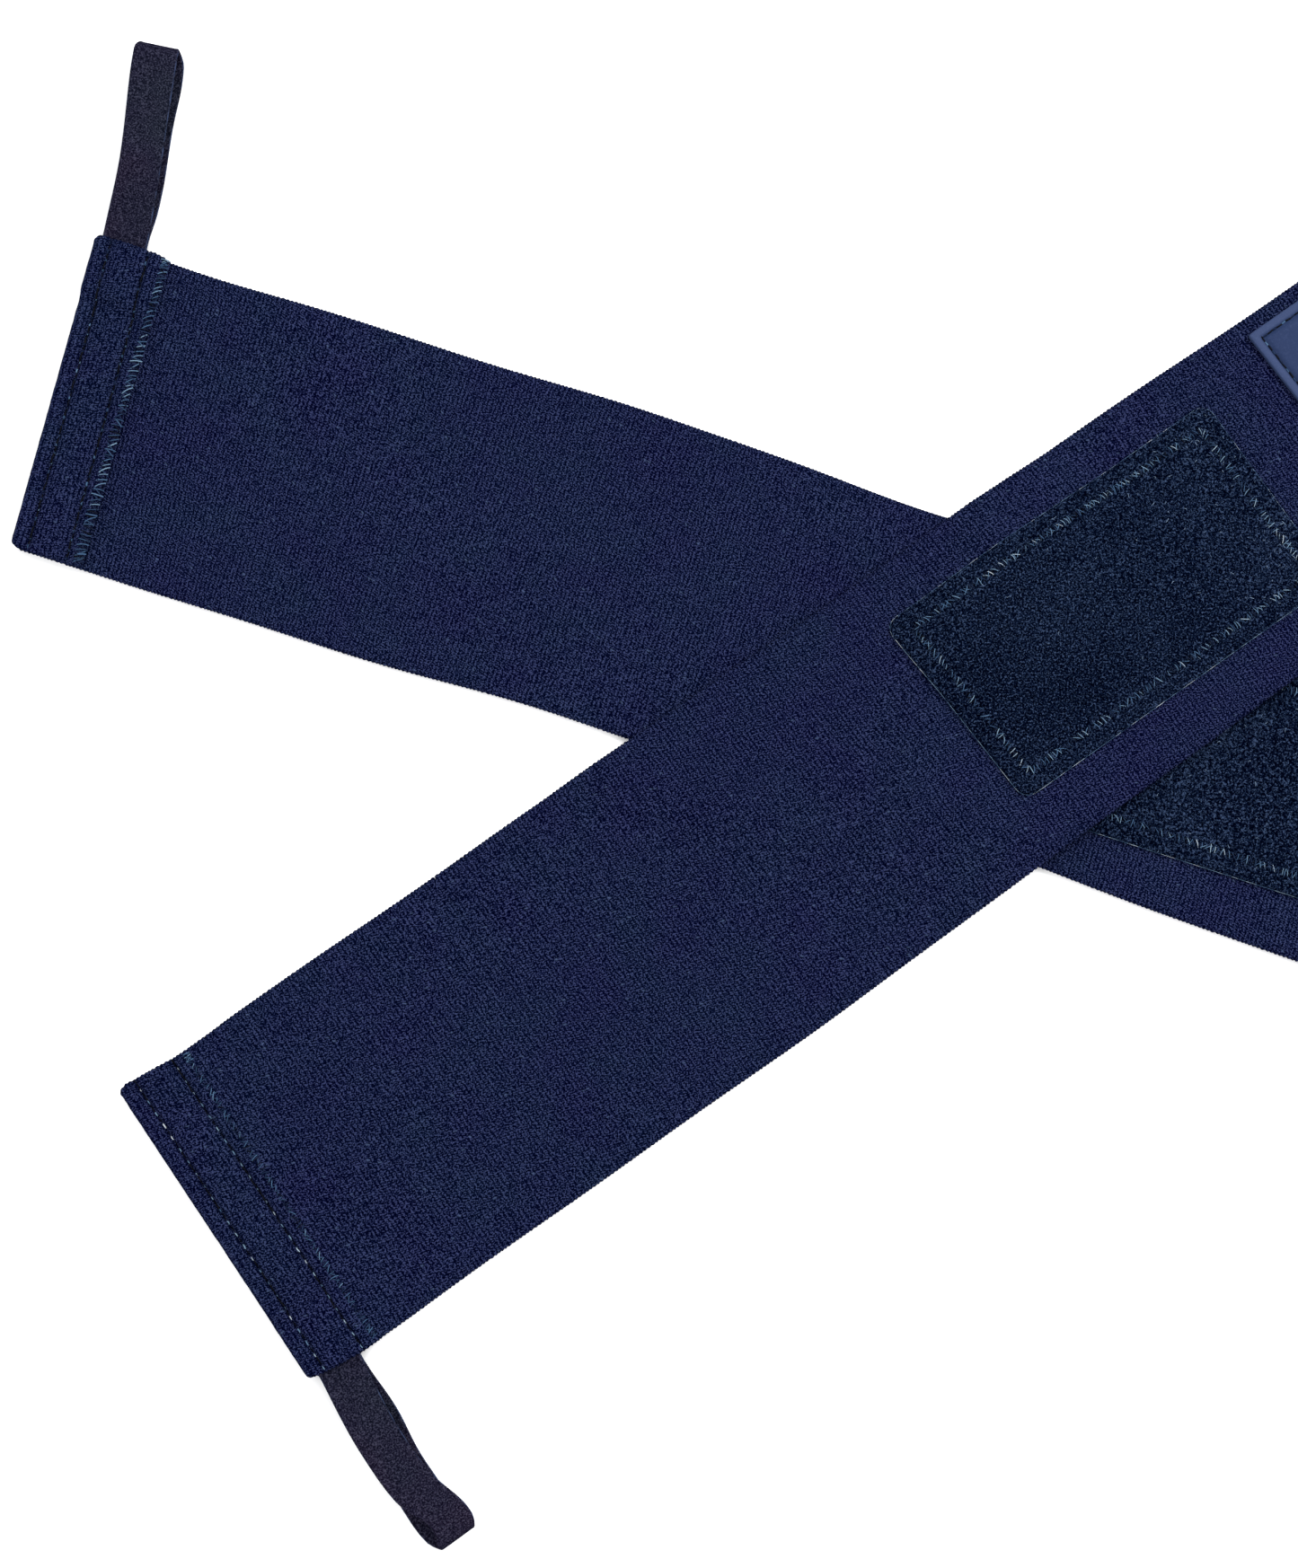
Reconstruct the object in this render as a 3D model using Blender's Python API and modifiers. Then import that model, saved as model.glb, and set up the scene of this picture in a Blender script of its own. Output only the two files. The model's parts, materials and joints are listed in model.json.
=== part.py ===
"""A pair of elastic hand wraps lying flat, the over wrap laid across the under wrap.

Every wrap is modelled in its own strip frame: s runs from the hemmed end to the far end,
t runs across the band to the left of s, and z is up from the surface the pair lies on.
An empty at the middle of each hem turns that frame into the world.
"""

from dataclasses import dataclass
from math import ceil, cos, pi, radians, sin, tan

import bmesh
import bpy
from mathutils import Matrix, Vector

# Driving dimensions, in metres.
BAND_WIDTH = 0.076
BAND_LENGTH = 0.460
BAND_THICK = 0.0020
GAP = 0.0003
SEGMENT_GAP = 0.0004

CURL_TIP_HINGE = 0.056
CURL_HINGE = 0.112
TAB_HINGE = 0.396

HEM_FLAP_LENGTH = 0.0172
HEM_ROW_1 = 0.0042
HEM_ROW_2 = 0.0130
HEM_ZIGZAG = 0.0175
HEM_ZIGZAG_WIDTH = 0.0032
HEM_CELL = 0.004

PATCH_SIZE = (0.088, 0.049)
PATCH_THICK = 0.0016
PATCH_CORNER = 0.0045
PATCH_SEAM_INSET = 0.0045
PATCH_SEAM_WIDTH = 0.0026

LABEL_AFTER_PATCH = 0.019
LABEL_SIZE = (0.060, 0.066)
LABEL_THICK = 0.0012
LABEL_CORNER = 0.0020
LABEL_SEAM_INSET = 0.0020

HOOK_START = 0.405
HOOK_SIZE = (0.044, 0.050)
HOOK_THICK = 0.0012
HOOK_CORNER = 0.0030
HOOK_SEAM_INSET = 0.0022
TAB_RISE_START = 0.3975
TAB_RISE_LENGTH = 0.0065
TAB_RISE_STEPS = 4

FAR_FLAP_LENGTH = 0.0085
FAR_FLAP_INSET = 0.0002
FAR_ROW_INSET = 0.0045

TAPE_WIDTH = 0.010
TAPE_THICK = 0.0008
TAPE_CENTRE = 0.0078
TAIL_DEPTH = 0.012
LOOP_LENGTH = 0.0465
LOOP_HEIGHT = 0.0068
LOOP_DROP_LENGTH = 0.010
LOOP_SWELL_LENGTH = 0.018

THREAD_RADIUS = 0.00022
DRAPED_SEAM_RISE = 0.0006
STITCH_PITCH = 0.0035
SEAM_PITCH = 0.0040
SEAM_SIDE_MARGIN = 0.0020

LAY_MARGIN = 0.0055
DRAPED_CELL = 0.0065
BAND_SLOPE_LENGTH = 0.014
PATCH_SLOPE_LENGTH = 0.016

# Where the wraps lie: both pass over one crossing point, at these distances from their hems,
# and that point is placed so that the pair's box is centred on the origin.
CROSSING = Vector((-0.0057, 0.0077, 0.0))
UNDER_HEADING = radians(-18.2)
OVER_HEADING = radians(35.35)
UNDER_CROSSING = 0.2240
OVER_CROSSING = (0.2100, 0.0014)
UNDER_PATCH_START = 0.222
OVER_PATCH_START = 0.200
UNDER_LOOP_LEAN = radians(11.0)

PIECES = "hand_wrap_pair"


@dataclass(frozen=True)
class Finish:
    """A piece's colour and surface."""

    colour: tuple
    roughness: float
    metallic: float = 0.0


KNIT = Finish((0.013, 0.018, 0.060), 0.92)
PILE = Finish((0.009, 0.018, 0.042), 0.95)
TAPE = Finish((0.022, 0.021, 0.045), 0.80)
RUBBER = Finish((0.051, 0.081, 0.178), 0.55)
HOOK = Finish((0.016, 0.020, 0.050), 0.50)
THREAD = Finish((0.180, 0.300, 0.620), 0.60)


def fall(distance, width):
    """1 up to a distance of 0, 0 from the width on, and smooth between."""
    x = min(max(distance / width, 0.0), 1.0)
    return 1.0 - x * x * (3.0 - 2.0 * x)


def outside(value, low, high):
    """How far a value lies outside a range."""
    return max(low - value, value - high, 0.0)


@dataclass(frozen=True)
class Wrap:
    """One hand wrap: where it lies and how it differs from the other of the pair."""

    prefix: str
    heading: float
    hem: Vector
    loop_side: int
    loop_lean: float
    flap_on_top: bool
    patch_start: float
    beneath: "Wrap" = None

    def to_world(self, s, t):
        """A strip point's place in the world's plane."""
        return self.hem + Matrix.Rotation(self.heading, 3, "Z") @ Vector((s, t, 0.0))

    def from_world(self, point):
        """A world point's s and t."""
        local = Matrix.Rotation(-self.heading, 3, "Z") @ (point - self.hem)
        return local.x, local.y

    def tail_rise(self, s, t):
        """How far cloth over the thumb loop's tail is pushed up."""
        along = outside(s, TAPE_CENTRE - TAPE_WIDTH / 2, TAPE_CENTRE + TAPE_WIDTH / 2)
        across = outside(self.loop_side * t, BAND_WIDTH / 2 - TAIL_DEPTH, BAND_WIDTH)
        off = max(along, across) - 0.0012
        return (2 * TAPE_THICK + GAP) * fall(off, 0.0040)

    def hump(self, s, t):
        """How far this wrap is pushed up by the wrap that it lies across."""
        if self.beneath is None:
            return 0.0
        under_s, under_t = self.beneath.from_world(self.to_world(s, t))
        off_band = outside(under_t, -BAND_WIDTH / 2, BAND_WIDTH / 2) - LAY_MARGIN
        patch_end = self.beneath.patch_start + PATCH_SIZE[0]
        off_patch = max(
            outside(under_s, self.beneath.patch_start, patch_end),
            outside(under_t, -PATCH_SIZE[1] / 2, PATCH_SIZE[1] / 2),
        ) - LAY_MARGIN
        over_band = (BAND_THICK + GAP) * fall(off_band, BAND_SLOPE_LENGTH)
        over_patch = (PATCH_THICK + 2 * THREAD_RADIUS + 2 * GAP) * fall(off_patch, PATCH_SLOPE_LENGTH)
        return over_band + over_patch

    def band_bottom(self, s, t):
        """The height of the band's underside."""
        height = self.hump(s, t)
        height += (HOOK_THICK + GAP) * (1.0 - fall(s - TAB_RISE_START, TAB_RISE_LENGTH))
        if not self.flap_on_top:
            off_flap = s - HEM_FLAP_LENGTH - 0.001
            height += (BAND_THICK + GAP + self.tail_rise(s, t)) * fall(off_flap, 0.007)
        return height

    def band_top(self, s, t):
        """The height just above the band's upper face."""
        return self.band_bottom(s, t) + BAND_THICK + GAP

    def hem_top(self, s, t):
        """The height just above the hem, whichever way its flap is folded."""
        if self.flap_on_top:
            return self.band_top(s, t) + self.tail_rise(s, t) + BAND_THICK + GAP
        return self.band_top(s, t)


def hem_place(crossing_s, crossing_t, heading):
    """The hem's middle for a wrap that passes the crossing point at this s and t."""
    return CROSSING - Matrix.Rotation(heading, 3, "Z") @ Vector((crossing_s, crossing_t, 0.0))


UNDER = Wrap(
    prefix="under",
    heading=UNDER_HEADING,
    hem=hem_place(UNDER_CROSSING, 0.0, UNDER_HEADING),
    loop_side=1,
    loop_lean=UNDER_LOOP_LEAN,
    flap_on_top=True,
    patch_start=UNDER_PATCH_START,
)
OVER = Wrap(
    prefix="over",
    heading=OVER_HEADING,
    hem=hem_place(*OVER_CROSSING, OVER_HEADING),
    loop_side=-1,
    loop_lean=0.0,
    flap_on_top=False,
    patch_start=OVER_PATCH_START,
    beneath=UNDER,
)


def clear_scene():
    """Remove whatever the scene holds."""
    for found in list(bpy.data.objects):
        bpy.data.objects.remove(found, do_unlink=True)


def material(name, finish):
    """A Principled material of one finish."""
    made = bpy.data.materials.new(name)
    made.use_nodes = True
    shader = made.node_tree.nodes["Principled BSDF"]
    shader.inputs["Base Color"].default_value = (*finish.colour, 1.0)
    shader.inputs["Roughness"].default_value = finish.roughness
    shader.inputs["Metallic"].default_value = finish.metallic
    return made


class Builder:
    """Makes a wrap's pieces in its strip frame, each its own object under the wrap's empty."""

    def __init__(self, wrap, collection):
        self.wrap = wrap
        self.collection = collection
        self.frame = bpy.data.objects.new(wrap.prefix + "_frame", None)
        self.frame.location = wrap.hem
        self.frame.rotation_euler = (0.0, 0.0, wrap.heading)
        collection.objects.link(self.frame)

    def add(self, name, data, finish, origin=(0.0, 0.0, 0.0)):
        """An object for one piece, placed with its own origin in the strip frame."""
        full_name = self.wrap.prefix + "_" + name
        piece = bpy.data.objects.new(full_name, data)
        data.materials.append(material(full_name, finish))
        self.collection.objects.link(piece)
        piece.parent = self.frame
        piece.location = origin
        return piece

    def cloth(self, name, start, end, bottom, thick, finish, **shape):
        """A flat piece that follows a height function, thickened upwards.

        start and end are its (s, t) corners. cell is the grid's step, cuts are more places
        along s where it may bend, corner is the radius of its corners, and origin the point
        that the piece turns about.
        """
        cell = shape.get("cell", 1.0)
        corner = shape.get("corner", 0.0)
        origin = Vector(shape.get("origin", (0.0, 0.0, 0.0)))
        size = (end[0] - start[0], end[1] - start[1])
        steps = [max(1, ceil(length / cell)) for length in size]
        mesh = bpy.data.meshes.new(self.wrap.prefix + "_" + name)
        grid = bmesh.new()
        bmesh.ops.create_grid(grid, x_segments=steps[0], y_segments=steps[1], size=0.5)
        for vertex in grid.verts:
            vertex.co.x = start[0] + (vertex.co.x + 0.5) * size[0]
            vertex.co.y = start[1] + (vertex.co.y + 0.5) * size[1]
        for cut in shape.get("cuts", ()):
            bmesh.ops.bisect_plane(
                grid, geom=grid.verts[:] + grid.edges[:] + grid.faces[:],
                plane_co=(cut, 0.0, 0.0), plane_no=(1.0, 0.0, 0.0),
            )
        if corner:
            corners = [vertex for vertex in grid.verts if len(vertex.link_edges) == 2]
            bmesh.ops.bevel(grid, geom=corners, offset=corner, segments=4, profile=0.5, affect="VERTICES")
        for vertex in grid.verts:
            vertex.co.z = bottom(vertex.co.x, vertex.co.y)
            vertex.co -= origin
        grid.to_mesh(mesh)
        grid.free()
        piece = self.add(name, mesh, finish, origin)
        wall = piece.modifiers.new("thickness", "SOLIDIFY")
        wall.thickness = thick
        wall.offset = 1.0
        return piece

    def thread(self, name, points, closed=False):
        """A thread through strip points, with its ends capped."""
        curve = bpy.data.curves.new(self.wrap.prefix + "_" + name, "CURVE")
        curve.dimensions = "3D"
        curve.bevel_depth = THREAD_RADIUS
        curve.bevel_resolution = 0
        curve.use_fill_caps = True
        spline = curve.splines.new("POLY")
        spline.points.add(len(points) - 1)
        for knot, point in zip(spline.points, points):
            knot.co = (*point, 1.0)
        spline.use_cyclic_u = closed
        return self.add(name, curve, THREAD)

    def row(self, name, s, height, zigzag=0.0):
        """A row of stitches across the band at s, straight or as a zigzag of this width."""
        half = BAND_WIDTH / 2 - SEAM_SIDE_MARGIN
        count = round(2 * half / STITCH_PITCH)
        side = max(zigzag / 2, THREAD_RADIUS)
        points = []
        for i in range(count + 1):
            t = -half + 2 * half * i / count
            at = s + (side if i % 2 else -side)
            points.append((at, t, height(at, t) + THREAD_RADIUS))
        return self.thread(name, points)

    def ring(self, name, start, size, height, zigzag=0.0):
        """A seam round a rectangle, straight or as a zigzag of this width."""
        side = max(zigzag / 2, THREAD_RADIUS)
        points = []
        corners = [
            (start[0], start[1]),
            (start[0] + size[0], start[1]),
            (start[0] + size[0], start[1] + size[1]),
            (start[0], start[1] + size[1]),
        ]
        for i, (s, t) in enumerate(corners):
            next_s, next_t = corners[(i + 1) % 4]
            length = abs(next_s - s) + abs(next_t - t)
            along = Vector((next_s - s, next_t - t)) / length
            across = Vector((-along.y, along.x))
            count = 2 * round(length / SEAM_PITCH)
            for k in range(1, count):
                at = Vector((s, t)) + along * (length * k / count)
                at += across * (side if k % 2 else -side)
                points.append((at.x, at.y, height(at.x, at.y) + THREAD_RADIUS))
        return self.thread(name, points, closed=True)

    def band(self):
        """The knitted band, in the four lengths that bend where they meet."""
        wrap = self.wrap
        half = BAND_WIDTH / 2
        gap = SEGMENT_GAP / 2
        end_cell = 1.0 if wrap.flap_on_top else HEM_CELL
        main_cell = 1.0 if wrap.beneath is None else DRAPED_CELL
        step = TAB_RISE_LENGTH / TAB_RISE_STEPS
        rise = tuple(TAB_RISE_START + step * i for i in range(TAB_RISE_STEPS + 1))
        lengths = (
            ("band_end", 0.0, CURL_TIP_HINGE - gap, CURL_TIP_HINGE, end_cell, ()),
            ("band_mid", CURL_TIP_HINGE + gap, CURL_HINGE - gap, CURL_HINGE, 1.0, ()),
            ("band_main", CURL_HINGE + gap, TAB_HINGE - gap, CURL_HINGE, main_cell, ()),
            ("band_tab", TAB_HINGE + gap, BAND_LENGTH, TAB_HINGE, 1.0, rise),
        )
        for name, start, end, pivot, cell, cuts in lengths:
            self.cloth(
                name, (start, -half), (end, half), wrap.band_bottom, BAND_THICK, KNIT,
                cell=cell, cuts=cuts, origin=(pivot, 0.0, BAND_THICK),
            )

    def hem(self):
        """The folded hem at the near end, with its two straight rows and its edge zigzag."""
        wrap = self.wrap
        half = BAND_WIDTH / 2
        on_top = wrap.flap_on_top

        def flap_bottom(s, t):
            return wrap.band_top(s, t) + wrap.tail_rise(s, t) if on_top else 0.0

        origin = (CURL_TIP_HINGE, 0.0, BAND_THICK)
        self.cloth(
            "hem_flap", (0.0, -half), (HEM_FLAP_LENGTH, half), flap_bottom, BAND_THICK, KNIT,
            cell=HEM_CELL if on_top else 1.0, origin=origin,
        )
        self.row("hem_stitch_row_1", HEM_ROW_1, wrap.hem_top)
        self.row("hem_stitch_row_2", HEM_ROW_2, wrap.hem_top)

        def edge_top(s, t):
            return max(wrap.hem_top(s, t), wrap.hem_top(HEM_ZIGZAG - HEM_ZIGZAG_WIDTH, t))

        self.row("hem_zigzag", HEM_ZIGZAG, edge_top, HEM_ZIGZAG_WIDTH)

    def thumb_loop(self):
        """The elastic tape: its tail sewn into the hem, and its loop out past the band's edge."""
        side = self.wrap.loop_side
        half = BAND_WIDTH / 2
        base = BAND_THICK + GAP
        near, far = sorted((side * (half - TAIL_DEPTH), side * (half - SEGMENT_GAP / 2)))
        self.cloth(
            "thumb_loop_tail", (TAPE_CENTRE - TAPE_WIDTH / 2, near), (TAPE_CENTRE + TAPE_WIDTH / 2, far),
            lambda s, t: base, 2 * TAPE_THICK, TAPE, origin=(TAPE_CENTRE, side * half, base),
        )
        hinge = Vector((TAPE_CENTRE, side * half, self.loop_hinge_height()))
        mesh = self.loop_mesh(base - hinge.z)
        turn = Matrix(((0, 0, side), (side, 0, 0), (0, 1, 0))).to_4x4()
        lean = Matrix.Identity(4)
        lean[0][1] = -tan(self.wrap.loop_lean) * side
        mesh.transform(lean @ turn)
        self.add("thumb_loop", mesh, TAPE, hinge)

    def loop_hinge_height(self):
        """The height of the hem's upper face, where the loop folds back over the band."""
        return 2 * BAND_THICK + GAP + 2 * TAPE_THICK + GAP

    def loop_mesh(self, root):
        """The loop's ring as a mesh, in its side plane: x outwards, y up, root at the hinge."""
        curve = bpy.data.curves.new(self.wrap.prefix + "_thumb_loop", "CURVE")
        curve.dimensions = "2D"
        curve.fill_mode = "BOTH"
        curve.extrude = TAPE_WIDTH / 2
        floor = root - BAND_THICK - GAP
        for inset in (0.0, TAPE_THICK):
            outline = self.loop_outline(root, floor, inset)
            spline = curve.splines.new("POLY")
            spline.points.add(len(outline) - 1)
            for knot, (x, y) in zip(spline.points, outline):
                knot.co = (x, y, 0.0, 1.0)
            spline.use_cyclic_u = True
        holder = bpy.data.objects.new("loop_outline", curve)
        self.collection.objects.link(holder)
        graph = bpy.context.evaluated_depsgraph_get()
        mesh = bpy.data.meshes.new_from_object(holder.evaluated_get(graph))
        bpy.data.objects.remove(holder, do_unlink=True)
        edit = bmesh.new()
        edit.from_mesh(mesh)
        bmesh.ops.remove_doubles(edit, verts=edit.verts, dist=0.00001)
        bmesh.ops.recalc_face_normals(edit, faces=edit.faces)
        edit.to_mesh(mesh)
        edit.free()
        return mesh

    def loop_outline(self, root, floor, inset):
        """The loop's outer outline, or its inner one when inset by the tape's thickness."""
        start = SEGMENT_GAP + (0.0035 if inset else 0.0)
        radius = LOOP_HEIGHT / 2 - inset
        centre = (LOOP_LENGTH - LOOP_HEIGHT / 2, floor + LOOP_HEIGHT / 2)
        low, high = [], []
        steps = 10
        for i in range(steps):
            x = start + (LOOP_SWELL_LENGTH - start) * (i / steps)
            low.append((x, floor + (root - floor) * fall(x, LOOP_DROP_LENGTH) + inset))
            rise = 1.0 - fall(x, LOOP_SWELL_LENGTH)
            top = root + 2 * TAPE_THICK
            high.append((x, top + (floor + LOOP_HEIGHT - top) * rise - inset))
        tip = []
        turns = 10
        for i in range(turns + 1):
            angle = -pi / 2 + pi * i / turns
            tip.append((centre[0] + radius * cos(angle), centre[1] + radius * sin(angle)))
        return low + tip + high[::-1]

    def seam_rise(self):
        """The gap under a patch's seam, larger where the patch is draped over the other wrap."""
        return GAP if self.wrap.beneath is None else DRAPED_SEAM_RISE

    def loop_patch(self):
        """The soft pile patch and the zigzag seam that holds it."""
        wrap = self.wrap
        start = (wrap.patch_start, -PATCH_SIZE[1] / 2)
        end = (wrap.patch_start + PATCH_SIZE[0], PATCH_SIZE[1] / 2)
        cell = 1.0 if wrap.beneath is None else DRAPED_CELL
        self.cloth(
            "loop_patch", start, end, wrap.band_top, PATCH_THICK, PILE,
            cell=cell, corner=PATCH_CORNER,
        )
        inset = PATCH_SEAM_INSET
        self.ring(
            "loop_patch_zigzag", (start[0] + inset, start[1] + inset),
            (PATCH_SIZE[0] - 2 * inset, PATCH_SIZE[1] - 2 * inset),
            lambda s, t: wrap.band_top(s, t) + PATCH_THICK + self.seam_rise(), PATCH_SEAM_WIDTH,
        )

    def label(self):
        """The moulded rubber label and the seam that holds it."""
        wrap = self.wrap
        first = wrap.patch_start + PATCH_SIZE[0] + LABEL_AFTER_PATCH
        start = (first, -LABEL_SIZE[1] / 2)
        cell = 1.0 if wrap.beneath is None else DRAPED_CELL
        self.cloth(
            "label_patch", start, (first + LABEL_SIZE[0], LABEL_SIZE[1] / 2), wrap.band_top,
            LABEL_THICK, RUBBER, cell=cell, corner=LABEL_CORNER,
        )
        inset = LABEL_SEAM_INSET
        self.ring(
            "label_stitch", (start[0] + inset, start[1] + inset),
            (LABEL_SIZE[0] - 2 * inset, LABEL_SIZE[1] - 2 * inset),
            lambda s, t: wrap.band_top(s, t) + LABEL_THICK + self.seam_rise(),
        )

    def far_end(self):
        """The hook patch under the far end, its seam on top, and the far end's folded hem."""
        wrap = self.wrap
        start = (HOOK_START, -HOOK_SIZE[1] / 2)
        origin = (TAB_HINGE, 0.0, BAND_THICK)
        self.cloth(
            "hook_patch", start, (HOOK_START + HOOK_SIZE[0], HOOK_SIZE[1] / 2),
            lambda s, t: 0.0, HOOK_THICK, HOOK, corner=HOOK_CORNER, origin=origin,
        )
        inset = HOOK_SEAM_INSET
        self.ring(
            "hook_stitch", (start[0] + inset, start[1] + inset),
            (HOOK_SIZE[0] - 2 * inset, HOOK_SIZE[1] - 2 * inset), wrap.band_top,
        )
        end = BAND_LENGTH - FAR_FLAP_INSET
        half = BAND_WIDTH / 2
        self.cloth(
            "far_hem_flap", (end - FAR_FLAP_LENGTH, -half), (end, half), wrap.band_top,
            BAND_THICK, KNIT, origin=origin,
        )
        self.row(
            "far_hem_stitch", BAND_LENGTH - FAR_ROW_INSET,
            lambda s, t: wrap.band_top(s, t) + BAND_THICK + GAP,
        )

    def build(self):
        """Every piece of the wrap."""
        self.band()
        self.hem()
        self.thumb_loop()
        self.loop_patch()
        self.label()
        self.far_end()


def main():
    """Both wraps of the pair."""
    clear_scene()
    collection = bpy.data.collections.new(PIECES)
    bpy.context.scene.collection.children.link(collection)
    for wrap in (UNDER, OVER):
        Builder(wrap, collection).build()


main()
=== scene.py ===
"""A pair of knitted elastic hand wraps that lie crossed, dressed in cloth, thread and pile."""

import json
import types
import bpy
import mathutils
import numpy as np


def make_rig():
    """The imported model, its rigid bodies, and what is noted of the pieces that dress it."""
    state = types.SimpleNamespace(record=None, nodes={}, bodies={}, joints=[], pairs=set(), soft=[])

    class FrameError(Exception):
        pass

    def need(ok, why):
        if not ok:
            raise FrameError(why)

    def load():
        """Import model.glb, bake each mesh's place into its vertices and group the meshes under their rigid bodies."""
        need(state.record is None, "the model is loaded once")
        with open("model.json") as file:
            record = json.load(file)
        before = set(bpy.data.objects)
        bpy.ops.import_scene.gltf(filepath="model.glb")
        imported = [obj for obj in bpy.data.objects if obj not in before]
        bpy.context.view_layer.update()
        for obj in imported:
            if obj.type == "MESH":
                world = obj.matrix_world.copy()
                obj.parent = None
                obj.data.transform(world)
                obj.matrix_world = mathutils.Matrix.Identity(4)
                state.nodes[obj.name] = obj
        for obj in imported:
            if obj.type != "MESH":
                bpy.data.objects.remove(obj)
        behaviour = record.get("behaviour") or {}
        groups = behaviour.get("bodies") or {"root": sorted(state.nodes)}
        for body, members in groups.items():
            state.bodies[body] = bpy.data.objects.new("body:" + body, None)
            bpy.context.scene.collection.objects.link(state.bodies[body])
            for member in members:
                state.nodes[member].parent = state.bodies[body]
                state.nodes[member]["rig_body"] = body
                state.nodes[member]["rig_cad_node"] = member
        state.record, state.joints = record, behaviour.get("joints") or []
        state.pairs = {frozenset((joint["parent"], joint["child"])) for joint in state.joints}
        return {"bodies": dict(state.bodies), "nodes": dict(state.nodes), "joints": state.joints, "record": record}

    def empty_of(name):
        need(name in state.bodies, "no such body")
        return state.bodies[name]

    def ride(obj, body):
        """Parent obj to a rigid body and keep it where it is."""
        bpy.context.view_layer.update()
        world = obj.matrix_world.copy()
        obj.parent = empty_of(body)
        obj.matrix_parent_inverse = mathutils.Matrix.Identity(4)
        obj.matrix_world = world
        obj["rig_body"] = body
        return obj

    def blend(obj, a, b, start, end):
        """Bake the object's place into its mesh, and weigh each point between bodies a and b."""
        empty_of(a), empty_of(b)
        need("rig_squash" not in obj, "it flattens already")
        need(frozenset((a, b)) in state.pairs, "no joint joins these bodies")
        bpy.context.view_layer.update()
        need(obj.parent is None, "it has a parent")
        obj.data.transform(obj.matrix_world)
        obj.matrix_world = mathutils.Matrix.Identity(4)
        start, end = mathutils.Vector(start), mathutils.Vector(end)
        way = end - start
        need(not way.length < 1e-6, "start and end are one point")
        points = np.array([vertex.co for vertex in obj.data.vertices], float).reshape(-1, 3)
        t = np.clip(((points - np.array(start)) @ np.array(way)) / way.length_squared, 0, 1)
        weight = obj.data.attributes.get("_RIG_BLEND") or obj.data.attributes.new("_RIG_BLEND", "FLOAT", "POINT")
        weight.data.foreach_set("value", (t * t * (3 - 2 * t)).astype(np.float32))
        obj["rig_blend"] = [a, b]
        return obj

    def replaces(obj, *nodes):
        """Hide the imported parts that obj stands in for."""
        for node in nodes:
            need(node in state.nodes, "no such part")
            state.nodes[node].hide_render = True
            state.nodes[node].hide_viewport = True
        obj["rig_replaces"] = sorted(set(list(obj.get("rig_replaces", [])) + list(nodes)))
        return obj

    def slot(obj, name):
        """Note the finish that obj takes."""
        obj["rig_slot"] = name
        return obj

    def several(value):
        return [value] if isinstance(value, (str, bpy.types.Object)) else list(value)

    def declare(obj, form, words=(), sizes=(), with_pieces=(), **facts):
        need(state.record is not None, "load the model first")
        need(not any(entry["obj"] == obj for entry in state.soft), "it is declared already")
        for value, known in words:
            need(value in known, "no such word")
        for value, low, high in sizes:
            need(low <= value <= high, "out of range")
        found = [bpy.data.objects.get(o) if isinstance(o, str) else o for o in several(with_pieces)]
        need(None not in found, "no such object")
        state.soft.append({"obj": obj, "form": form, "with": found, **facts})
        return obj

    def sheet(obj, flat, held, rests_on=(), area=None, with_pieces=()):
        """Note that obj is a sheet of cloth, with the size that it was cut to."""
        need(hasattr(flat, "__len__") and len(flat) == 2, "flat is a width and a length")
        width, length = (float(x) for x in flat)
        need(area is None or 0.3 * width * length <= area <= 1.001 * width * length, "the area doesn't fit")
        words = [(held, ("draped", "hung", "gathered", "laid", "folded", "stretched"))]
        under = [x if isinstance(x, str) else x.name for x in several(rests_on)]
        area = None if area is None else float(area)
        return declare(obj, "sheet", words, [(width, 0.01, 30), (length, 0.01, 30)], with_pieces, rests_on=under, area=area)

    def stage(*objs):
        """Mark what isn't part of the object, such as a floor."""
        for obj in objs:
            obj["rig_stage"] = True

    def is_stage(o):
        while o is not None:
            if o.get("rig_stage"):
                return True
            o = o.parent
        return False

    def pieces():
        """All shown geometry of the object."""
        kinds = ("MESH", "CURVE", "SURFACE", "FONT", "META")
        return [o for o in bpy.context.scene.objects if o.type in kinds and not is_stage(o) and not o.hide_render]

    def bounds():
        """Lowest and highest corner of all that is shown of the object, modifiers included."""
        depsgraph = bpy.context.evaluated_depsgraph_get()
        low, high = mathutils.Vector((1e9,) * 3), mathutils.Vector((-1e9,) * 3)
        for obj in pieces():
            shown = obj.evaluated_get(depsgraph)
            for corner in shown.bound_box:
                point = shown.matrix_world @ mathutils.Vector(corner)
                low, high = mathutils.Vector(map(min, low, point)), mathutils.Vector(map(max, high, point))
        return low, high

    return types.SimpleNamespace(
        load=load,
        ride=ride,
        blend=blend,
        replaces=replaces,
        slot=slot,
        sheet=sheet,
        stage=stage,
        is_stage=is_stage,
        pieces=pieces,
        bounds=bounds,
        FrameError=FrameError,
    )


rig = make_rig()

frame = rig.load()

import json
import logging
import math
from dataclasses import asdict, dataclass, field
from enum import Enum
from typing import Any, Callable

import bpy
import numpy as np
from mathutils import Vector

LOG = logging.getLogger("hand_wraps")
MM = 0.001
TAU = 2 * math.pi
STRIP_MAP = "strip"
STUDIO_GAIN = 2.3
TONE = "tone"
SEAM_STEP = 0.5 * MM
CAD_BOX = [list(corner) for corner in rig.bounds()]
Array = np.ndarray
Colour = tuple[float, float, float]


# ---------------------------------------------------------------- node trees


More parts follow.
